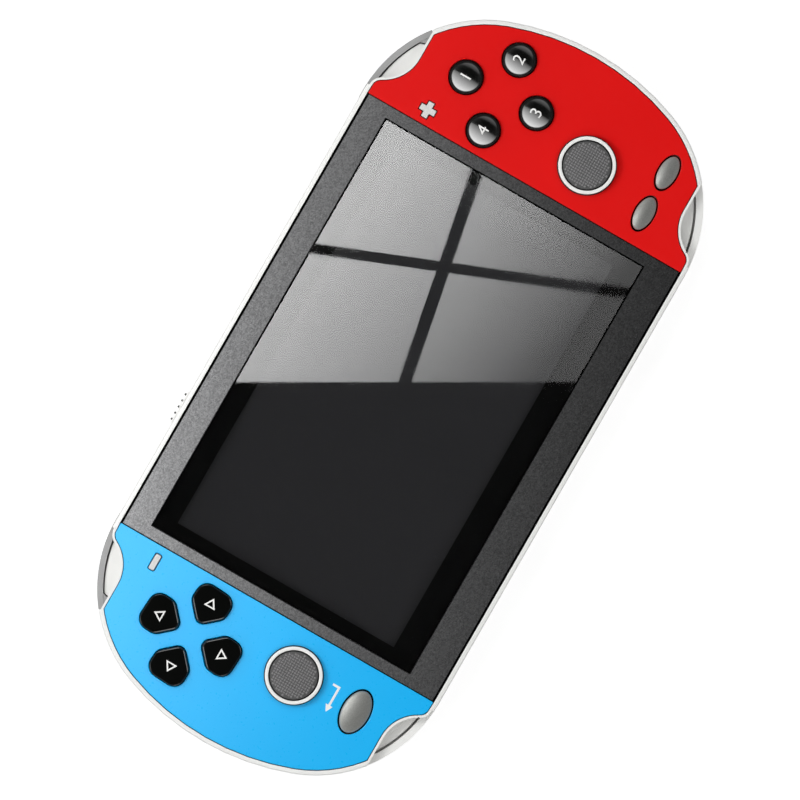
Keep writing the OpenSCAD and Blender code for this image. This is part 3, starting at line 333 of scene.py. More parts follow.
def softened(nodeName, edge):
    # the node's own shape with its flat faces made whole and its edges rounded, as moulded parts have them
    bm = bmesh.new()
    bm.from_mesh(nodes[nodeName].data)
    bmesh.ops.remove_doubles(bm, verts=bm.verts, dist=soft["merge"] * mm)
    bmesh.ops.dissolve_limit(bm, angle_limit=math.radians(soft["flat"]), verts=bm.verts, edges=bm.edges)
    mesh = withoutNormals(meshFrom(bm, nodeName + "_soft"))
    mesh.shade_smooth()
    rough = bpy.data.objects.new(nodeName + "_soft", mesh)
    scene.collection.objects.link(rough)
    bevel = rough.modifiers.new("edge", "BEVEL")
    bevel.width = edge * mm
    bevel.segments = soft["segments"]
    bevel.limit_method = "ANGLE"
    bevel.angle_limit = math.radians(soft["angle"])
    bevel.use_clamp_overlap = True
    shade = rough.modifiers.new("shade", "WEIGHTED_NORMAL")
    shade.keep_sharp = True
    shade.weight = soft["weight"]
    return baked(rough)


def turned(name, profile, centre, steps=72, stretch=(1.0, 1.0)):
    # profile runs from the axis at the bottom, out and up, back to the axis at the top, in mm
    bm = bmesh.new()
    rings = []
    for radius, height in profile:
        if radius < 1e-6:
            rings.append([bm.verts.new((centre[0], centre[1], height * mm))])
            continue
        ring = []
        for k in range(steps):
            a = 2 * math.pi * k / steps
            ring.append(bm.verts.new((centre[0] + radius * stretch[0] * math.cos(a) * mm,
                                      centre[1] + radius * stretch[1] * math.sin(a) * mm, height * mm)))
        rings.append(ring)
    for low, high in zip(rings, rings[1:]):
        for k in range(steps):
            n = k + 1
            corners = [low[k % len(low)], low[n % len(low)], high[n % len(high)], high[k % len(high)]]
            bm.faces.new(list(dict.fromkeys(corners)))
    bmesh.ops.remove_doubles(bm, verts=bm.verts, dist=nearly)
    return smoothed(meshFrom(bm, name))


def paintWhere(mesh, look, inside):
    # faces that pass the test take a second finish
    mesh.materials.append(looks[look])
    index = len(mesh.materials) - 1
    for face in mesh.polygons:
        if inside(face):
            face.material_index = index


def middle(nodeName):
    low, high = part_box(nodeName)
    return (low + high) / 2


# Case, plates and panel

caseEdges = {
    "front_shell": ("front_case", 0.15), "rear_shell": ("rear_case", 0.15),
    "left_plate": ("blue_plate", 0.18), "right_plate": ("red_plate", 0.18),
    "screen_panel": ("grey_panel", 0.12),
}
# where the front shell is painted black: mask under the window, painted shade in the seams round the plates
maskAndSeamShade = dict(underLens=0.3, underDeck=0.05, underFace=0.2, level=0.9)
lensLow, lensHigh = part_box("screen_lens")
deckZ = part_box("left_plate")[0].z  # floor of the recess that the plates are glued into
flatFrom = 0.95  # a face whose normal stands this upright counts as flat


def maskedOrSeamShaded(face):
    # the well under the window is masked black; the recess under the plates is painted shade for the seams
    # round them
    spot, way = face.center, face.normal
    if lensLow.x < spot.x < lensHigh.x and lensLow.y < spot.y < lensHigh.y:
        return spot.z < lensHigh.z - maskAndSeamShade["underLens"] * mm
    inward = way.x * spot.x + way.y * spot.y < 0
    inSeam = deckZ - maskAndSeamShade["underDeck"] * mm < spot.z < faceZ - maskAndSeamShade["underFace"] * mm
    return inSeam and (way.z > maskAndSeamShade["level"] or inward)


casePieces = {}
for nodeName, (pieceName, edge) in caseEdges.items():
    look = lookOfSlot[slotOf[nodeName]]
    casePieces[nodeName] = place(pieceName, softened(nodeName, edge), look, "case", [nodeName])
bluePlate, greyPanel = casePieces["left_plate"], casePieces["screen_panel"]
# painted shade: the recess under the plates is painted black so that the seams round them show dark
paintWhere(casePieces["front_shell"].data, "blackMaskAndSeamShade", maskedOrSeamShaded)
paintWhere(greyPanel.data, "mattBlackAndEdgeShade", lambda face: face.normal.z < flatFrom)  # painted shade: the panel's edges in matt black draw the dark seam round it
print("case pieces:", len(casePieces))

# The lens has its CAD shape with softened edges. Tape and display are the CAD solids themselves.
lensFit = dict(edge=0.12, foot=0.1, lift=0.02)
lensMesh = withoutNormals(softened("screen_lens", lensFit["edge"]))
lensMesh.shade_flat()  # true planes, so that what they mirror stays straight
lens = place("lens", lensMesh, "clearAcrylic", "case", ["screen_lens"])
for v in lens.data.vertices:
    if v.co.z < lensLow.z + lensFit["foot"] * mm:
        v.co.z += lensFit["lift"] * mm  # a hair above the tape, so that the two never share a face
paintWhere(lens.data, "blackMaskAndSeamShade", lambda face: abs(face.normal.z) < flatFrom)  # inked edges


# Keys

dome = dict(radius=3.65, crown=0.9, face=3.12, faceSteps=16, edgeDeep=0.75, edgeSteps=6, slack=0.01,
            flange=4.45, flangeT=0.8, marks="1234", markSize=2.7, fontScale=1.38, markCut=0.25, markCuts=8,
            markRaise=0.03)
domeBall = (dome["radius"] ** 2 + dome["crown"] ** 2) / (2 * dome["crown"])


def domeHeight(r):
    return math.sqrt(domeBall ** 2 - r ** 2) - domeBall


roundKeys = []
for mark, side in zip(dome["marks"], ("north", "east", "south", "west")):
    nodeName = "button_" + side
    centre = middle(nodeName)
    low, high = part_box(nodeName)
    top = high.z / mm
    foot = low.z / mm
    rim, edgeZ = dome["face"], top + domeHeight(dome["face"])
    wide, deep = dome["radius"] - rim, dome["edgeDeep"]  # the matt edge rolls from the face to the side
    profile = [(0, foot), (dome["flange"], foot), (dome["flange"], foot + dome["flangeT"]),
               (dome["radius"], foot + dome["flangeT"])]
    for k in range(dome["edgeSteps"] + 1):
        a = math.radians(90 * k / dome["edgeSteps"])
        profile.append((rim + wide * math.cos(a), edgeZ - deep * (1 - math.sin(a))))
    for k in range(1, dome["faceSteps"] + 1):
        r = rim * (1 - k / dome["faceSteps"])
        profile.append((r, top + domeHeight(r)))
    mesh = turned(nodeName, profile, centre)
    roundKeys.append(place("round_key_" + side, mesh, "blackAbs", nodeName, [nodeName]))
    polished = (rim + dome["slack"]) * mm
    paintWhere(mesh, "mattBlackAndEdgeShade", lambda face: (face.center - centre).xy.length > polished)
    # plain numbers on the domes
    text = bpy.data.curves.new("mark", "FONT")
    text.body = mark
    text.size = dome["markSize"] * dome["fontScale"] * mm
    text.align_x = "CENTER"
    text.align_y = "CENTER"
    text.resolution_u = 6
    textObject = bpy.data.objects.new("mark", text)
    scene.collection.objects.link(textObject)
    bm = bmesh.new()
    bm.from_mesh(baked(textObject))
    bmesh.ops.remove_doubles(bm, verts=bm.verts, dist=10 * nearly)
    for axis in (Vector((1, 0, 0)), Vector((0, 1, 0))):
        for k in range(-dome["markCuts"], dome["markCuts"] + 1):
            sliceAt(bm, axis * k * dome["markCut"] * mm, axis)
    # the far layer is laid just above the dome and the near one just inside it
    extrude(bm, 1.0)
    for v in bm.verts:
        r = math.hypot(v.co.x, v.co.y) / mm
        lift = dome["markRaise"] if v.co.z > 0.5 else -dome["markRaise"]
        v.co = Vector((centre.x + v.co.x, centre.y + v.co.y, (top + domeHeight(r) + lift) * mm))
    bmesh.ops.recalc_face_normals(bm, faces=bm.faces)
    place("mark_" + side, meshFrom(bm, "mark_" + side), "whiteInk", nodeName)
print("round keys done")

arrow = dict(width=2.7, height=2.15, stroke=0.3, out=7.95, turn=-3.6, raised=0.03)
arrowKey = dict(tip=3.3, length=8.2, width=8.2, tipR=1.6, sideR=2.2, endR=2.4, flange=0.8, flangeT=0.9,
                innerEdge=0.62, outerEdge=0.22, edgeTall=0.8, facing=0.7, run=0.6, arcSteps=8, steps=8)
dpadMiddle = (middle("dpad_left") + middle("dpad_right")) / 2


def arrowOutline():
    # corner points of a key that points up from the middle of the cluster, each with its way outwards
    k = arrowKey
    half, end = k["width"] / 2, k["tip"] + k["length"] - k["endR"]
    tip = k["tip"] + k["tipR"]
    side = tip - k["tipR"] * math.sqrt(2) + half + k["sideR"] * math.tan(math.radians(22.5))
    corners = [(0, tip, k["tipR"], 225, 315), (half - k["sideR"], side, k["sideR"], 315, 360),
               (half - k["endR"], end, k["endR"], 0, 90), (k["endR"] - half, end, k["endR"], 90, 180),
               (k["sideR"] - half, side, k["sideR"], 180, 225)]
    points = []
    for x, y, r, first, last in corners:
        for j in range(k["arcSteps"] + 1):
            a = math.radians(first + (last - first) * j / k["arcSteps"])
            way = Vector((math.cos(a), math.sin(a)))
            points.append((Vector((x, y)) + way * r, way))
    # long straight runs get points of their own, so that the edges swell evenly
    filled = []
    for (p, n), (q, m) in zip(points, points[1:] + points[:1]):
        filled.append((p, n))
        parts = int((q - p).length / k["run"])
        filled += [(p.lerp(q, j / parts), n.lerp(m, j / parts)) for j in range(1, parts)]
    return filled


def arrowKeyMesh(name, turn, low, high):
    # rings from the flange up, then an edge that is rounder where it faces the middle of the cluster
    k = arrowKey
    spin = Matrix.Rotation(math.radians(turn), 2)
    outline = arrowOutline()
    facing = [max(0.0, min(1.0, -way.y / k["facing"])) for spot, way in outline]
    edges = [k["outerEdge"] + (k["innerEdge"] - k["outerEdge"]) * f * f * (3 - 2 * f) for f in facing]
    levels = [(k["flange"], low), (k["flange"], low + k["flangeT"] * mm), (0, low + k["flangeT"] * mm)]
    bm = bmesh.new()

    def ring(grow, drop):
        verts = []
        for (spot, way), g, d in zip(outline, grow, drop):
            at = spin @ (spot + way * g) * mm + dpadMiddle.xy
            verts.append(bm.verts.new((at.x, at.y, d)))
        return verts

    rings = [ring([g] * len(outline), [z] * len(outline)) for g, z in levels]
    for j in range(k["steps"] + 1):
        a = math.radians(90 * j / k["steps"])
        grow = [-e * (1 - math.cos(a)) for e in edges]
        drop = [high - e * k["edgeTall"] * (1 - math.sin(a)) * mm for e in edges]
        rings.append(ring(grow, drop))
    for below, above in zip(rings, rings[1:]):
        for j in range(len(below)):
            n = (j + 1) % len(below)
            bm.faces.new((below[j], below[n], above[n], above[j]))
    bm.faces.new(rings[-1])
    bm.faces.new(rings[0][::-1])
    return smoothed(meshFrom(bm, name), 50)


def prism(name, outlines, low, high):
    # flat rings of points, outer and inner in step, made into a thin raised print
    bm = bmesh.new()
    outer, inner = outlines
    count = len(outer)
    layers = [[bm.verts.new((p[0], p[1], z)) for p in ring] for z in (low, high) for ring in (outer, inner)]
    bottomOut, bottomIn, topOut, topIn = layers
    for a, b in ((bottomIn, bottomOut), (topOut, topIn), (bottomOut, topOut), (topIn, bottomIn)):
        for k in range(count):
            n = (k + 1) % count
            bm.faces.new((a[k], a[n], b[n], b[k]))
    bmesh.ops.recalc_face_normals(bm, faces=bm.faces)
    return meshFrom(bm, name)


arrowKeys = []
for k, side in enumerate(("right", "up", "left", "down")):
    nodeName = "dpad_" + side
    low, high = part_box(nodeName)
    mesh = arrowKeyMesh(nodeName, arrow["turn"] + 90 * (k - 1), low.z, high.z)
    arrowKeys.append(place("arrow_key_" + side, mesh, "blackAbs", nodeName, [nodeName]))
    a = math.radians(arrow["turn"] + 90 * k)
    at = dpadMiddle + Vector((math.cos(a), math.sin(a), 0)) * arrow["out"] * mm
    halfW = arrow["width"] / 2
    tip = arrow["height"] * 2 / 3
    base = -arrow["height"] / 3
    outer = [Vector((tip, 0)), Vector((base, halfW)), Vector((base, -halfW))]
    inward = arrow["stroke"] / (-base)
    inner = [p * (1 - inward) for p in outer]
    spin = Matrix.Rotation(math.radians(90 * k), 2)
    rings = [[spin @ p * mm + at.xy for p in ring] for ring in (outer, inner)]
    raised = arrow["raised"] * mm
    mesh = prism("arrow_" + side, rings, high.z - raised, high.z + raised)
    place("arrow_" + side, mesh, "whiteInk", nodeName)
print("arrow keys done")

# a bent arrow printed beside the back key, in mm from its middle
backPrint = dict(at=(-63.8, -19.4), raised=0.02, points=(
    (-3.1, -0.35), (-1.5, -1.2), (-1.5, -0.6), (3.1, -0.6), (3.1, 1.2),
    (2.6, 1.2), (2.6, -0.1), (-1.5, -0.1), (-1.5, 0.5)))
backX, backY = backPrint["at"]
raised = backPrint["raised"] * mm
bm = bmesh.new()
foot = [bm.verts.new(((backX + x) * mm, (backY + y) * mm, faceZ - raised)) for x, y in backPrint["points"]]
bm.faces.new(foot)
extrude(bm, 2 * raised)
bmesh.ops.recalc_face_normals(bm, faces=bm.faces)
bmesh.ops.triangulate(bm, faces=bm.faces)
place("back_print", meshFrom(bm, "back_print"), "whiteInk", "case")

oval = dict(crown=0.65, power=2.2, steps=12, shy=0.12, flange=0.8, flangeT=0.8, underFace=0.02,
            roll=((0, 0.1), (0.012, 0.02)), faceIn=0.035)
for nodeName, size in (("back_key", (10.2, 6.2)), ("start_key", (8.2, 4.3)), ("select_key", (8.2, 4.3))):
    low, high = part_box(nodeName)
    centre = (low + high) / 2
    top, foot = high.z / mm, low.z / mm
    # radii are shares of the outline; shy keeps the dark gap round the key open
    skirt = 1 + 2 * oval["flange"] / size[1]
    side = 1 - 2 * oval["shy"] / size[1]
    edgeZ = top - oval["crown"]
    profile = [(0, foot), (skirt, foot), (skirt, foot + oval["flangeT"]), (side, foot + oval["flangeT"]),
               (side, faceZ / mm - oval["underFace"])]
    profile += [(side - inset, edgeZ - drop) for inset, drop in oval["roll"]]
    shares = [(side - oval["faceIn"]) * (1 - k / oval["steps"]) for k in range(oval["steps"] + 1)]
    profile += [(share, top - oval["crown"] * share ** oval["power"]) for share in shares]
    mesh = turned(nodeName, profile, centre, stretch=(size[0] / 2, size[1] / 2))
    place("oval_" + nodeName, mesh, "silverLacquer", nodeName, [nodeName])
    paintWhere(mesh, "blackAbs", lambda face: face.center.z < faceZ)  # the skirt is painted black, a painted shade for the gap round the key

volumeKey = dict(edge=0.12)
for nodeName in ("volume_up_key", "volume_down_key"):
    place("small_" + nodeName, softened(nodeName, volumeKey["edge"]), "palePaint", nodeName, [nodeName])
print("small keys done")


# Silicone mats: under each key a dome of its own

mats = dict(sheet=0.6, hair=0.02, reach=4.0, clear=0.03)
keysOver = {
    "dpad_membrane": ["dpad_up", "dpad_down", "dpad_left", "dpad_right"],
    "button_membrane": ["button_north", "button_east", "button_south", "button_west"],
    "small_domes": ["back_key", "start_key", "select_key", "volume_up_key", "volume_down_key"],
}


def matPart(name, nodeName, cut, keepAbove, keyName=None):
    # the mat's own shape above or below the cut, and with a key's name only the dome under that key
    bm = bmesh.new()
    bm.from_mesh(nodes[nodeName].data)
    bmesh.ops.remove_doubles(bm, verts=bm.verts, dist=soft["merge"] * mm)
    sliceAt(bm, (0, 0, cut), (0, 0, 1), clear_inner=keepAbove, clear_outer=not keepAbove)
    if keyName:
        spot = middle(keyName)
        far = [f for f in bm.faces if (f.calc_center_median() - spot).xy.length > mats["reach"] * mm]
        bmesh.ops.delete(bm, geom=far, context="FACES")
    bmesh.ops.holes_fill(bm, edges=bm.edges)
    bmesh.ops.recalc_face_normals(bm, faces=bm.faces)
    return smoothed(withoutNormals(meshFrom(bm, name)), 30)


for nodeName, keyNames in keysOver.items():
    low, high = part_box(nodeName)
    hasSheet = nodeName != "small_domes"
    cut = low.z + ((mats["sheet"] + mats["hair"]) * mm if hasSheet else -mats["hair"] * mm)
    if hasSheet:
        matName = nodeName.replace("membrane", "mat")
        place(matName, matPart(matName, nodeName, cut, False), "silicone", "case", [nodeName])
    for k, keyName in enumerate(keyNames):
        name = "dome_" + keyName
        owned = [nodeName] if k == 0 and not hasSheet else ()
        mesh = matPart(name, nodeName, cut, True, keyName)
        piece = place(name, mesh, "silicone", "case", owned)
        spot, foot = middle(keyName), max(cut, low.z)
        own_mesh(piece)
print("mats done")


# Sticks: a ring, and a cap with a grid of square studs set by nodes

cap = dict(radius=5.2, crown=0.3, edge=0.2, roll=0.06, steps=10, shadeLip=6.5, shadeLipT=0.2, shadeLipGap=0.15)
grip = dict(radius=4.8, pitch=0.6, count=18, stud=0.5, height=0.14, bite=0.04, crown=0.85)
stickRing = dict(inside=5.5, outside=6.25, edge=0.12, roll=0.3, steps=96)


def studTree():
    tree = bpy.data.node_groups.new("studGrid", "GeometryNodeTree")
    face = tree.interface
    face.new_socket("Geometry", in_out="OUTPUT", socket_type="NodeSocketGeometry")
    for name in ("Radius", "Pitch", "Stud", "Height", "Crown", "Top"):
        face.new_socket(name, in_out="INPUT", socket_type="NodeSocketFloat")
    face.new_socket("Count", in_out="INPUT", socket_type="NodeSocketInt")
    face.new_socket("Middle", in_out="INPUT", socket_type="NodeSocketVector")
    face.new_socket("Look", in_out="INPUT", socket_type="NodeSocketMaterial")
    given = addNode(tree, "NodeGroupInput").outputs
    side = addNode(tree, "ShaderNodeMath", {0: given["Pitch"], 1: given["Count"]}, operation="MULTIPLY")
    across = addNode(tree, "FunctionNodeIntegerMath", {0: given["Count"], 1: 1}, operation="ADD")
    grid = addNode(tree, "GeometryNodeMeshGrid", {
        "Size X": side.outputs[0], "Size Y": side.outputs[0],
        "Vertices X": across.outputs[0], "Vertices Y": across.outputs[0]})
    spot = addNode(tree, "GeometryNodeInputPosition")
    away = addNode(tree, "ShaderNodeVectorMath", {0: spot.outputs[0]}, operation="LENGTH")
    outside = addNode(tree, "FunctionNodeCompare", {0: away.outputs["Value"], 1: given["Radius"]},
                      operation="GREATER_THAN")
    kept = addNode(tree, "GeometryNodeDeleteGeometry", {
        0: grid.outputs[0], "Selection": outside.outputs[0]}, domain="POINT")
    # the grid sinks with the crown of the cap
    share = addNode(tree, "ShaderNodeMath", {0: away.outputs["Value"], 1: given["Radius"]},
                    operation="DIVIDE")
    square = addNode(tree, "ShaderNodeMath", {0: share.outputs[0], 1: 2.0}, operation="POWER")
    sink = addNode(tree, "ShaderNodeMath", {0: square.outputs[0], 1: given["Crown"]}, operation="MULTIPLY")
    level = addNode(tree, "ShaderNodeMath", {0: given["Top"], 1: sink.outputs[0]}, operation="SUBTRACT")
    lift = addNode(tree, "ShaderNodeCombineXYZ", {"Z": level.outputs[0]})
    shift = addNode(tree, "ShaderNodeVectorMath", {0: given["Middle"], 1: lift.outputs[0]}, operation="ADD")
    raised = addNode(tree, "GeometryNodeSetPosition", {0: kept.outputs[0], "Offset": shift.outputs[0]})
    # a cone of four sides, measured to its corners, with a tip half as wide as its foot
    halfStud = addNode(tree, "ShaderNodeMath", {0: given["Stud"], 1: 0.7071}, operation="MULTIPLY")
    tipR = addNode(tree, "ShaderNodeMath", {0: halfStud.outputs[0], 1: 0.5}, operation="MULTIPLY")
    stud = addNode(tree, "GeometryNodeMeshCone", {
        "Vertices": 4, "Radius Top": tipR.outputs[0], "Radius Bottom": halfStud.outputs[0],
        "Depth": given["Height"]})
    spread = addNode(tree, "GeometryNodeInstanceOnPoints", {
        "Points": raised.outputs[0], "Instance": stud.outputs[0], "Rotation": (0, 0, math.radians(45))})
    real = addNode(tree, "GeometryNodeRealizeInstances", {0: spread.outputs[0]})
    dressed = addNode(tree, "GeometryNodeSetMaterial", {0: real.outputs[0], "Material": given["Look"]})
    addNode(tree, "NodeGroupOutput", {0: dressed.outputs[0]})
    return tree


studs = studTree()


def studMesh(name, values):
    holder = bpy.data.objects.new(name, bpy.data.meshes.new(name))
    scene.collection.objects.link(holder)
    modifier = holder.modifiers.new("studs", "NODES")
    modifier.node_group = studs
    for item in studs.interface.items_tree:
        if item.in_out == "INPUT":
            modifier[item.identifier] = values[item.name]
    return baked(holder)


for side in ("left", "right"):
    ringNode, capNode, body = side + "_stick_ring", side + "_stick_cap", side + "_stick"
    ringLow, ringHigh = (corner.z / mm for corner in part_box(ringNode))
    inside, outside, edge = stickRing["inside"], stickRing["outside"], stickRing["edge"]
    roll = stickRing["roll"] * edge
    shape = [(inside, ringLow), (outside, ringLow), (outside, ringHigh - edge),
             (outside - roll, ringHigh - roll), (outside - edge, ringHigh),
             (inside + edge, ringHigh), (inside + roll, ringHigh - roll),
             (inside, ringHigh - edge), (inside, ringLow)]
    ringMesh = turned(ringNode, shape, middle(ringNode), steps=stickRing["steps"])
    place(side + "_ring", ringMesh, "whiteAbs", body, [ringNode])
    low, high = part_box(capNode)
    centre = (low + high) / 2
    # a black lip under the ring, a painted shade that draws the shadow line round it
    shadeLipIn, shadeLipTop = cap["radius"] + cap["shadeLipGap"], ringLow + cap["shadeLipT"]
    shadeLip = [(shadeLipIn, ringLow), (cap["shadeLip"], ringLow), (cap["shadeLip"], shadeLipTop), (shadeLipIn, shadeLipTop), (shadeLipIn, ringLow)]
    place(side + "_lip", turned(side + "_lip", shadeLip, centre), "blackNylon", body)
    top, foot = high.z / mm - grip["height"], low.z / mm
    rim = cap["radius"] - cap["edge"]
    profile = [(0, foot), (cap["radius"], foot), (cap["radius"], top - cap["crown"] - cap["edge"]),
               (cap["radius"] - cap["roll"], top - cap["crown"] - cap["roll"])]
    shares = [1 - k / cap["steps"] for k in range(cap["steps"] + 1)]
    profile += [(rim * share, top - cap["crown"] * share ** 2) for share in shares]
    # the cap in the darker rubber, painted shade between the studs
    place(side + "_cap", turned(capNode, profile, centre), "shadedRubber", body, [capNode])
    # the studs in the paler rubber, a painted highlight on their tops
    gripMesh = studMesh(side + "_grip", {
        "Radius": grip["radius"] * mm, "Pitch": grip["pitch"] * mm, "Stud": grip["stud"] * mm,
        "Height": (grip["height"] + grip["bite"]) * mm, "Crown": cap["crown"] * grip["crown"] * mm,
        "Top": (top - grip["bite"]) * mm, "Count": grip["count"],
        "Middle": Vector((centre.x, centre.y, 0)), "Look": looks["litStudRubber"]})
    place(side + "_grip", gripMesh, None, body)
print("sticks done")

shoulderBar = dict(edge=0.25)
for nodeName in ("left_shoulder", "right_shoulder"):
    place(nodeName + "_bar", softened(nodeName, shoulderBar["edge"]), "greyAbs", nodeName, [nodeName])
# the slide is white, and its ribs are painted dark as painted shade for the gaps between them
slide = dict(edge=0.12, ribs=0.4)
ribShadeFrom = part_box("power_slider")[1].y - slide["ribs"] * mm
slideMesh = softened("power_slider", slide["edge"])
bm = bmesh.new()
bm.from_mesh(slideMesh)
sliceAt(bm, (0, ribShadeFrom, 0), (0, 1, 0))
bm.to_mesh(slideMesh)
bm.free()
place("power_slider_bar", slideMesh, "whiteAbs", "power_slider", ["power_slider"])
# painted shade on the ribs
paintWhere(slideMesh, "shadedRubber", lambda face: face.center.y > ribShadeFrom)

# CAD shapes that stay get the material of their slot
for nodeName, node in nodes.items():
    for materialSlot in node.material_slots:
        materialSlot.material = looks[lookOfSlot[slotOf[nodeName]]]
print("pieces made:", len(made))


# Stage: pale floor, bright room with a dark ceiling, four soft lamps above and a softbox at the upper left

stage = dict(floor="#E6E6E6", floorSize=6.0, floorDrop=0.05, floorGlow=0.58, horizon=0.62, ceiling=0.02,
             wallsTo=0.6, ceilingFrom=0.88, leftward=0.3, upward=0.45)

floorMesh = bpy.data.meshes.new("floor")
half = stage["floorSize"] / 2
floorZ = -stage["floorDrop"] * mm  # just clear of the flat back, so that the two never share a face
corners = [(-half, -half, floorZ), (half, -half, floorZ), (half, half, floorZ), (-half, half, floorZ)]
floorMesh.from_pydata(corners, [], [(0, 1, 2, 3)])
floor = bpy.data.objects.new("floor", floorMesh)
scene.collection.objects.link(floor)
floorLook = bpy.data.materials.new("paperFloor")
tree = emptyTree(floorLook)
seen = addNode(tree, "ShaderNodeLightPath")
paper = addNode(tree, "ShaderNodeBsdfDiffuse", {"Color": linear(stage["floor"])})
direct = addNode(tree, "ShaderNodeMath", {
    0: seen.outputs["Is Camera Ray"], 1: seen.outputs["Is Glossy Ray"]}, operation="MAXIMUM")
anySight = addNode(tree, "ShaderNodeMath", {0: direct.outputs[0], 1: seen.outputs["Is Transmission Ray"]},
                   operation="MAXIMUM")
whitening = addNode(tree, "ShaderNodeMath", {0: anySight.outputs[0], 1: stage["floorGlow"]},
                    operation="MULTIPLY")
glow = addNode(tree, "ShaderNodeEmission", {"Strength": whitening.outputs[0]})
both = addNode(tree, "ShaderNodeAddShader", {0: paper.outputs[0], 1: glow.outputs[0]})
addNode(tree, "ShaderNodeOutputMaterial", {"Surface": both.outputs[0]})
floorMesh.materials.append(floorLook)

world = bpy.data.worlds.new("room")
scene.world = world
tree = emptyTree(world)
direction = addNode(tree, "ShaderNodeTexCoord").outputs["Generated"]
height = addNode(tree, "ShaderNodeSeparateXYZ", {0: direction})
roomLight = addNode(tree, "ShaderNodeMapRange", {
    "Value": height.outputs["Z"], "From Min": stage["wallsTo"], "From Max": stage["ceilingFrom"],
    "To Min": stage["horizon"], "To Max": stage["ceiling"]}, interpolation_type="SMOOTHSTEP")
# the room is brighter on the side of the softbox
lean = addNode(tree, "ShaderNodeVectorMath", {0: direction, 1: (-stage["leftward"], stage["upward"], 0)},
               operation="DOT_PRODUCT")
leaning = addNode(tree, "ShaderNodeMath", {0: lean.outputs["Value"], 1: 1.0}, operation="ADD")
leant = addNode(tree, "ShaderNodeMath", {0: roomLight.outputs[0], 1: leaning.outputs[0]},
                operation="MULTIPLY")
room = addNode(tree, "ShaderNodeBackground", {"Strength": leant.outputs[0]})
addNode(tree, "ShaderNodeOutputWorld", {0: room.outputs[0]})


def areaLamp(name, at, size, power, aim=(0, 0, 0), diffuse=True, glossy=True):
    data = bpy.data.lights.new(name, "AREA")
    data.size = size * mm
    data.energy = power
    light = bpy.data.objects.new(name, data)
    scene.collection.objects.link(light)
    light.location = Vector(at) * mm
    light.rotation_euler = (Vector(aim) - Vector(at)).to_track_quat("-Z", "Y").to_euler()
    light.visible_diffuse = diffuse
    light.visible_glossy = glossy
    return light


upperLeft = dict(at=(-56, 180, 280), size=90, power=0.34)
softbox = areaLamp("softbox", **upperLeft)

# four soft lamps round the top, out of the face's mirror line, give the plain light of the shot
sky = dict(away=350, height=580, size=300, power=0.65)
for k in range(4):
    a = math.radians(45 + 90 * k)
    at = (sky["away"] * math.cos(a), sky["away"] * math.sin(a), sky["height"])
    areaLamp("sky", at, sky["size"], sky["power"], glossy=False)

# Seen only in reflections: a paned window in the lens, and soft sheets in the round keys, the blue plate
# and the panel, whose light is given as a power of e
windowCard = dict(height=1400, post=((18.25, 32.4), (44.06, -32.0)), rail=((3.4, 0.2), (51.3, 9.5)),
                  edge=((-14.4, 31.06), (21.7, -31.7)), postWide=2.3, railWide=2.75, top=42, bottom=-42,
                  right=62, lens=0.7, slope=0.2, dim=(-19, 0.9), bright=(37, 6.5))
domeLamps = dict(height=300, gap=8, left=-470, right=560, rightFrom=190, deep=420, dim=0.8, level=2.4,
                 perY=0.004, perX=-0.05, farDim=0.6, farPerX=0.012)
blueSheet = dict(at=(-72, 0), height=140, size=(120, 180), level=1.15, perX=0, perY=0.062, curve="MAXIMUM")
panelSheet = dict(at=(0, 0), height=140, size=(260, 200), level=-1.02, perX=-0.0085, perY=0.0245,
                  curve="EXPONENT")


def shifted(line, across):
    # a line of two points moved sideways, to its left as it runs
    a, b = Vector(line[0]), Vector(line[1])
    side = (b - a).normalized()
    step = Vector((-side.y, side.x)) * across
    return a + step, b + step


def meet(first, second):
    (a, b), (c, d) = first, second
    r, q = Vector(b) - Vector(a), Vector(d) - Vector(c)
    t = (Vector(c) - Vector(a)).cross(q) / r.cross(q)
    return Vector(a) + r * t


def onlyFor(light, pieces, state="INCLUDE"):
    receivers = bpy.data.collections.new(light.name + "Receivers")
    for piece in pieces:
        receivers.objects.link(piece)
    for row in receivers.collection_objects:
        row.light_linking.link_state = state
    light.light_linking.receiver_collection = receivers


def mirrored(x, y, height):
    # where the camera, mirrored in the face at (x, y), looks at that height above it
    aim = Vector(shot["aim"])
    spot = Vector((x, y))
    spot += (spot - aim) * height / shot["away"]
    return Vector((spot.x * mm, spot.y * mm, faceZ + height * mm))


def windowStrength(tree, axes):
    grow = 1 + windowCard["height"] / shot["away"]
    run = addNode(tree, "ShaderNodeMath", {
        0: axes.outputs["X"], 1: windowCard["slope"], 2: axes.outputs["Y"]}, operation="MULTIPLY_ADD")
    (lowRun, lowLight), (highRun, highLight) = windowCard["dim"], windowCard["bright"]
    return addNode(tree, "ShaderNodeMapRange", {
        "Value": run.outputs[0], "From Min": lowRun * grow * mm, "From Max": highRun * grow * mm,
        "To Min": lowLight, "To Max": highLight}).outputs[0]


topLine = ((-100, windowCard["top"]), (100, windowCard["top"]))
bottomLine = ((-100, windowCard["bottom"]), (100, windowCard["bottom"]))
rightLine = ((windowCard["right"], -100), (windowCard["right"], 100))
postLeft = shifted(windowCard["post"], -windowCard["postWide"] / 2)
postRight = shifted(windowCard["post"], windowCard["postWide"] / 2)
railTop = shifted(windowCard["rail"], windowCard["railWide"] / 2)
railLow = shifted(windowCard["rail"], -windowCard["railWide"] / 2)
panes = []
for west, east in ((windowCard["edge"], postLeft), (postRight, rightLine)):
    for north, south in ((topLine, railTop), (railLow, bottomLine)):
        corners = [meet(west, north), meet(east, north), meet(east, south), meet(west, south)]
        panes.append([mirrored(p.x, p.y + windowCard["lens"], windowCard["height"]) for p in corners])
paneMesh = bpy.data.meshes.new("windowCard")
paneFaces = [range(4 * k, 4 * k + 4) for k in range(len(panes))]
paneMesh.from_pydata([p for pane in panes for p in pane], [], paneFaces)
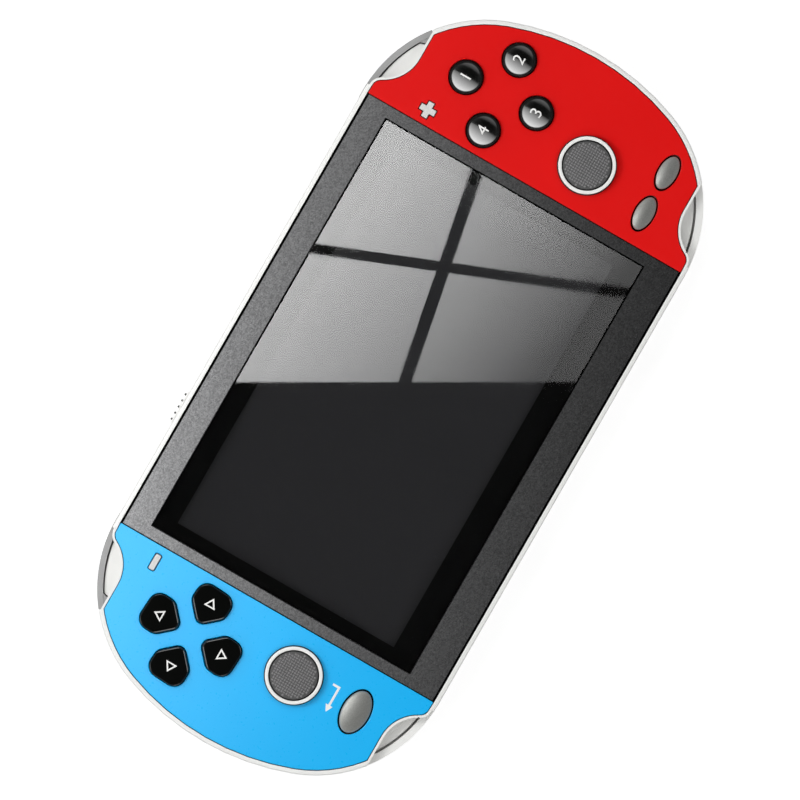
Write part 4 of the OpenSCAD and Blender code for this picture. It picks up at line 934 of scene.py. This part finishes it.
paneLook = bpy.data.materials.new("windowCard")
tree = emptyTree(paneLook)
paneLook.cycles.emission_sampling = "NONE"  # only what the lens mirrors finds it
axes = addNode(tree, "ShaderNodeSeparateXYZ", {0: addNode(tree, "ShaderNodeTexCoord").outputs["Object"]})
paneLight = addNode(tree, "ShaderNodeEmission", {"Strength": windowStrength(tree, axes)})
addNode(tree, "ShaderNodeOutputMaterial", {"Surface": paneLight.outputs[0]})
paneMesh.materials.append(paneLook)
windowPanes = bpy.data.objects.new("windowCard", paneMesh)
scene.collection.objects.link(windowPanes)
for way in ("camera", "diffuse", "volume_scatter", "shadow"):
    setattr(windowPanes, "visible_" + way, False)
onlyFor(windowPanes, [lens])

domeMiddle = (middle("button_east") + middle("button_west")) / 2 / mm
domeSpot = mirrored(domeMiddle.x, domeMiddle.y, domeLamps["height"]) / mm


def sheetLamp(name, centre, size, spot, level, perX, perY, pieces, least=0.0, curve="MAXIMUM"):
    # an area lamp for reflections alone, whose light runs across it: level at spot, then so much per mm
    data = bpy.data.lights.new(name, "AREA")
    data.shape = "RECTANGLE"
    data.size, data.size_y = size[0] * mm, size[1] * mm
    data.energy = math.pi * data.size * data.size_y  # a strength of 1 is then white
    tree = emptyTree(data)
    spread = addNode(tree, "ShaderNodeNewGeometry")
    axes = addNode(tree, "ShaderNodeSeparateXYZ", {0: spread.outputs["Position"]})
    start = level - perX * spot.x - perY * spot.y
    acrossX = addNode(tree, "ShaderNodeMath", {0: axes.outputs["X"], 1: perX / mm, 2: start},
                      operation="MULTIPLY_ADD")
    alongY = addNode(tree, "ShaderNodeMath", {0: axes.outputs["Y"], 1: perY / mm, 2: acrossX.outputs[0]},
                     operation="MULTIPLY_ADD")
    strength = addNode(tree, "ShaderNodeMath", {0: alongY.outputs[0], 1: least}, operation=curve)
    light = addNode(tree, "ShaderNodeEmission", {"Strength": strength.outputs[0]})
    addNode(tree, "ShaderNodeOutputLight", {0: light.outputs[0]})
    sheet = bpy.data.objects.new(name, data)
    scene.collection.objects.link(sheet)
    sheet.location = centre * mm
    sheet.visible_camera = False
    sheet.visible_diffuse = False
    onlyFor(sheet, pieces)


def domeSheet(name, fromX, toX, level, perX, perY):
    centre = domeSpot + Vector(((fromX + toX) / 2, 0, 0))
    sheetLamp(name, centre, (toX - fromX, 2 * domeLamps["deep"]), domeSpot, level, perX, perY, roundKeys,
              domeLamps["dim"])


# brighter towards the far left and the top, as from a window on that side
domeSheet("leftSheet", domeLamps["left"], domeLamps["gap"], domeLamps["level"], domeLamps["perX"],
          domeLamps["perY"])
farLevel = domeLamps["farDim"] - domeLamps["farPerX"] * domeLamps["rightFrom"]
domeSheet("rightSheet", domeLamps["rightFrom"], domeLamps["right"], farLevel, domeLamps["farPerX"], 0)
for name, sheet, piece in (("blueSheet", blueSheet, bluePlate), ("panelSheet", panelSheet, greyPanel)):
    spot = mirrored(*sheet["at"], sheet["height"]) / mm
    sheetLamp(name, spot, sheet["size"], spot, sheet["level"], sheet["perX"], sheet["perY"], [piece],
              curve=sheet["curve"])

# low strips round the direction keys, which catch their rounded edges
edgeStrips = dict(away=190, height=120, size=110, power=0.16)
for k in range(4):
    a = math.radians(arrow["turn"] + 45 + 90 * k)
    aim = dpadMiddle / mm
    x, y = math.cos(a) * edgeStrips["away"], math.sin(a) * edgeStrips["away"]
    at = aim + Vector((x, y, edgeStrips["height"]))
    strip = areaLamp("edgeStrip", at, edgeStrips["size"], edgeStrips["power"], aim, diffuse=False)
    onlyFor(strip, arrowKeys)

# the softbox leaves out what has its own sheets, and the floor, which stays even
onlyFor(softbox, roundKeys + arrowKeys + [floor, greyPanel, lens], "EXCLUDE")

scene.view_settings.view_transform = "Standard"
print("stage ready")
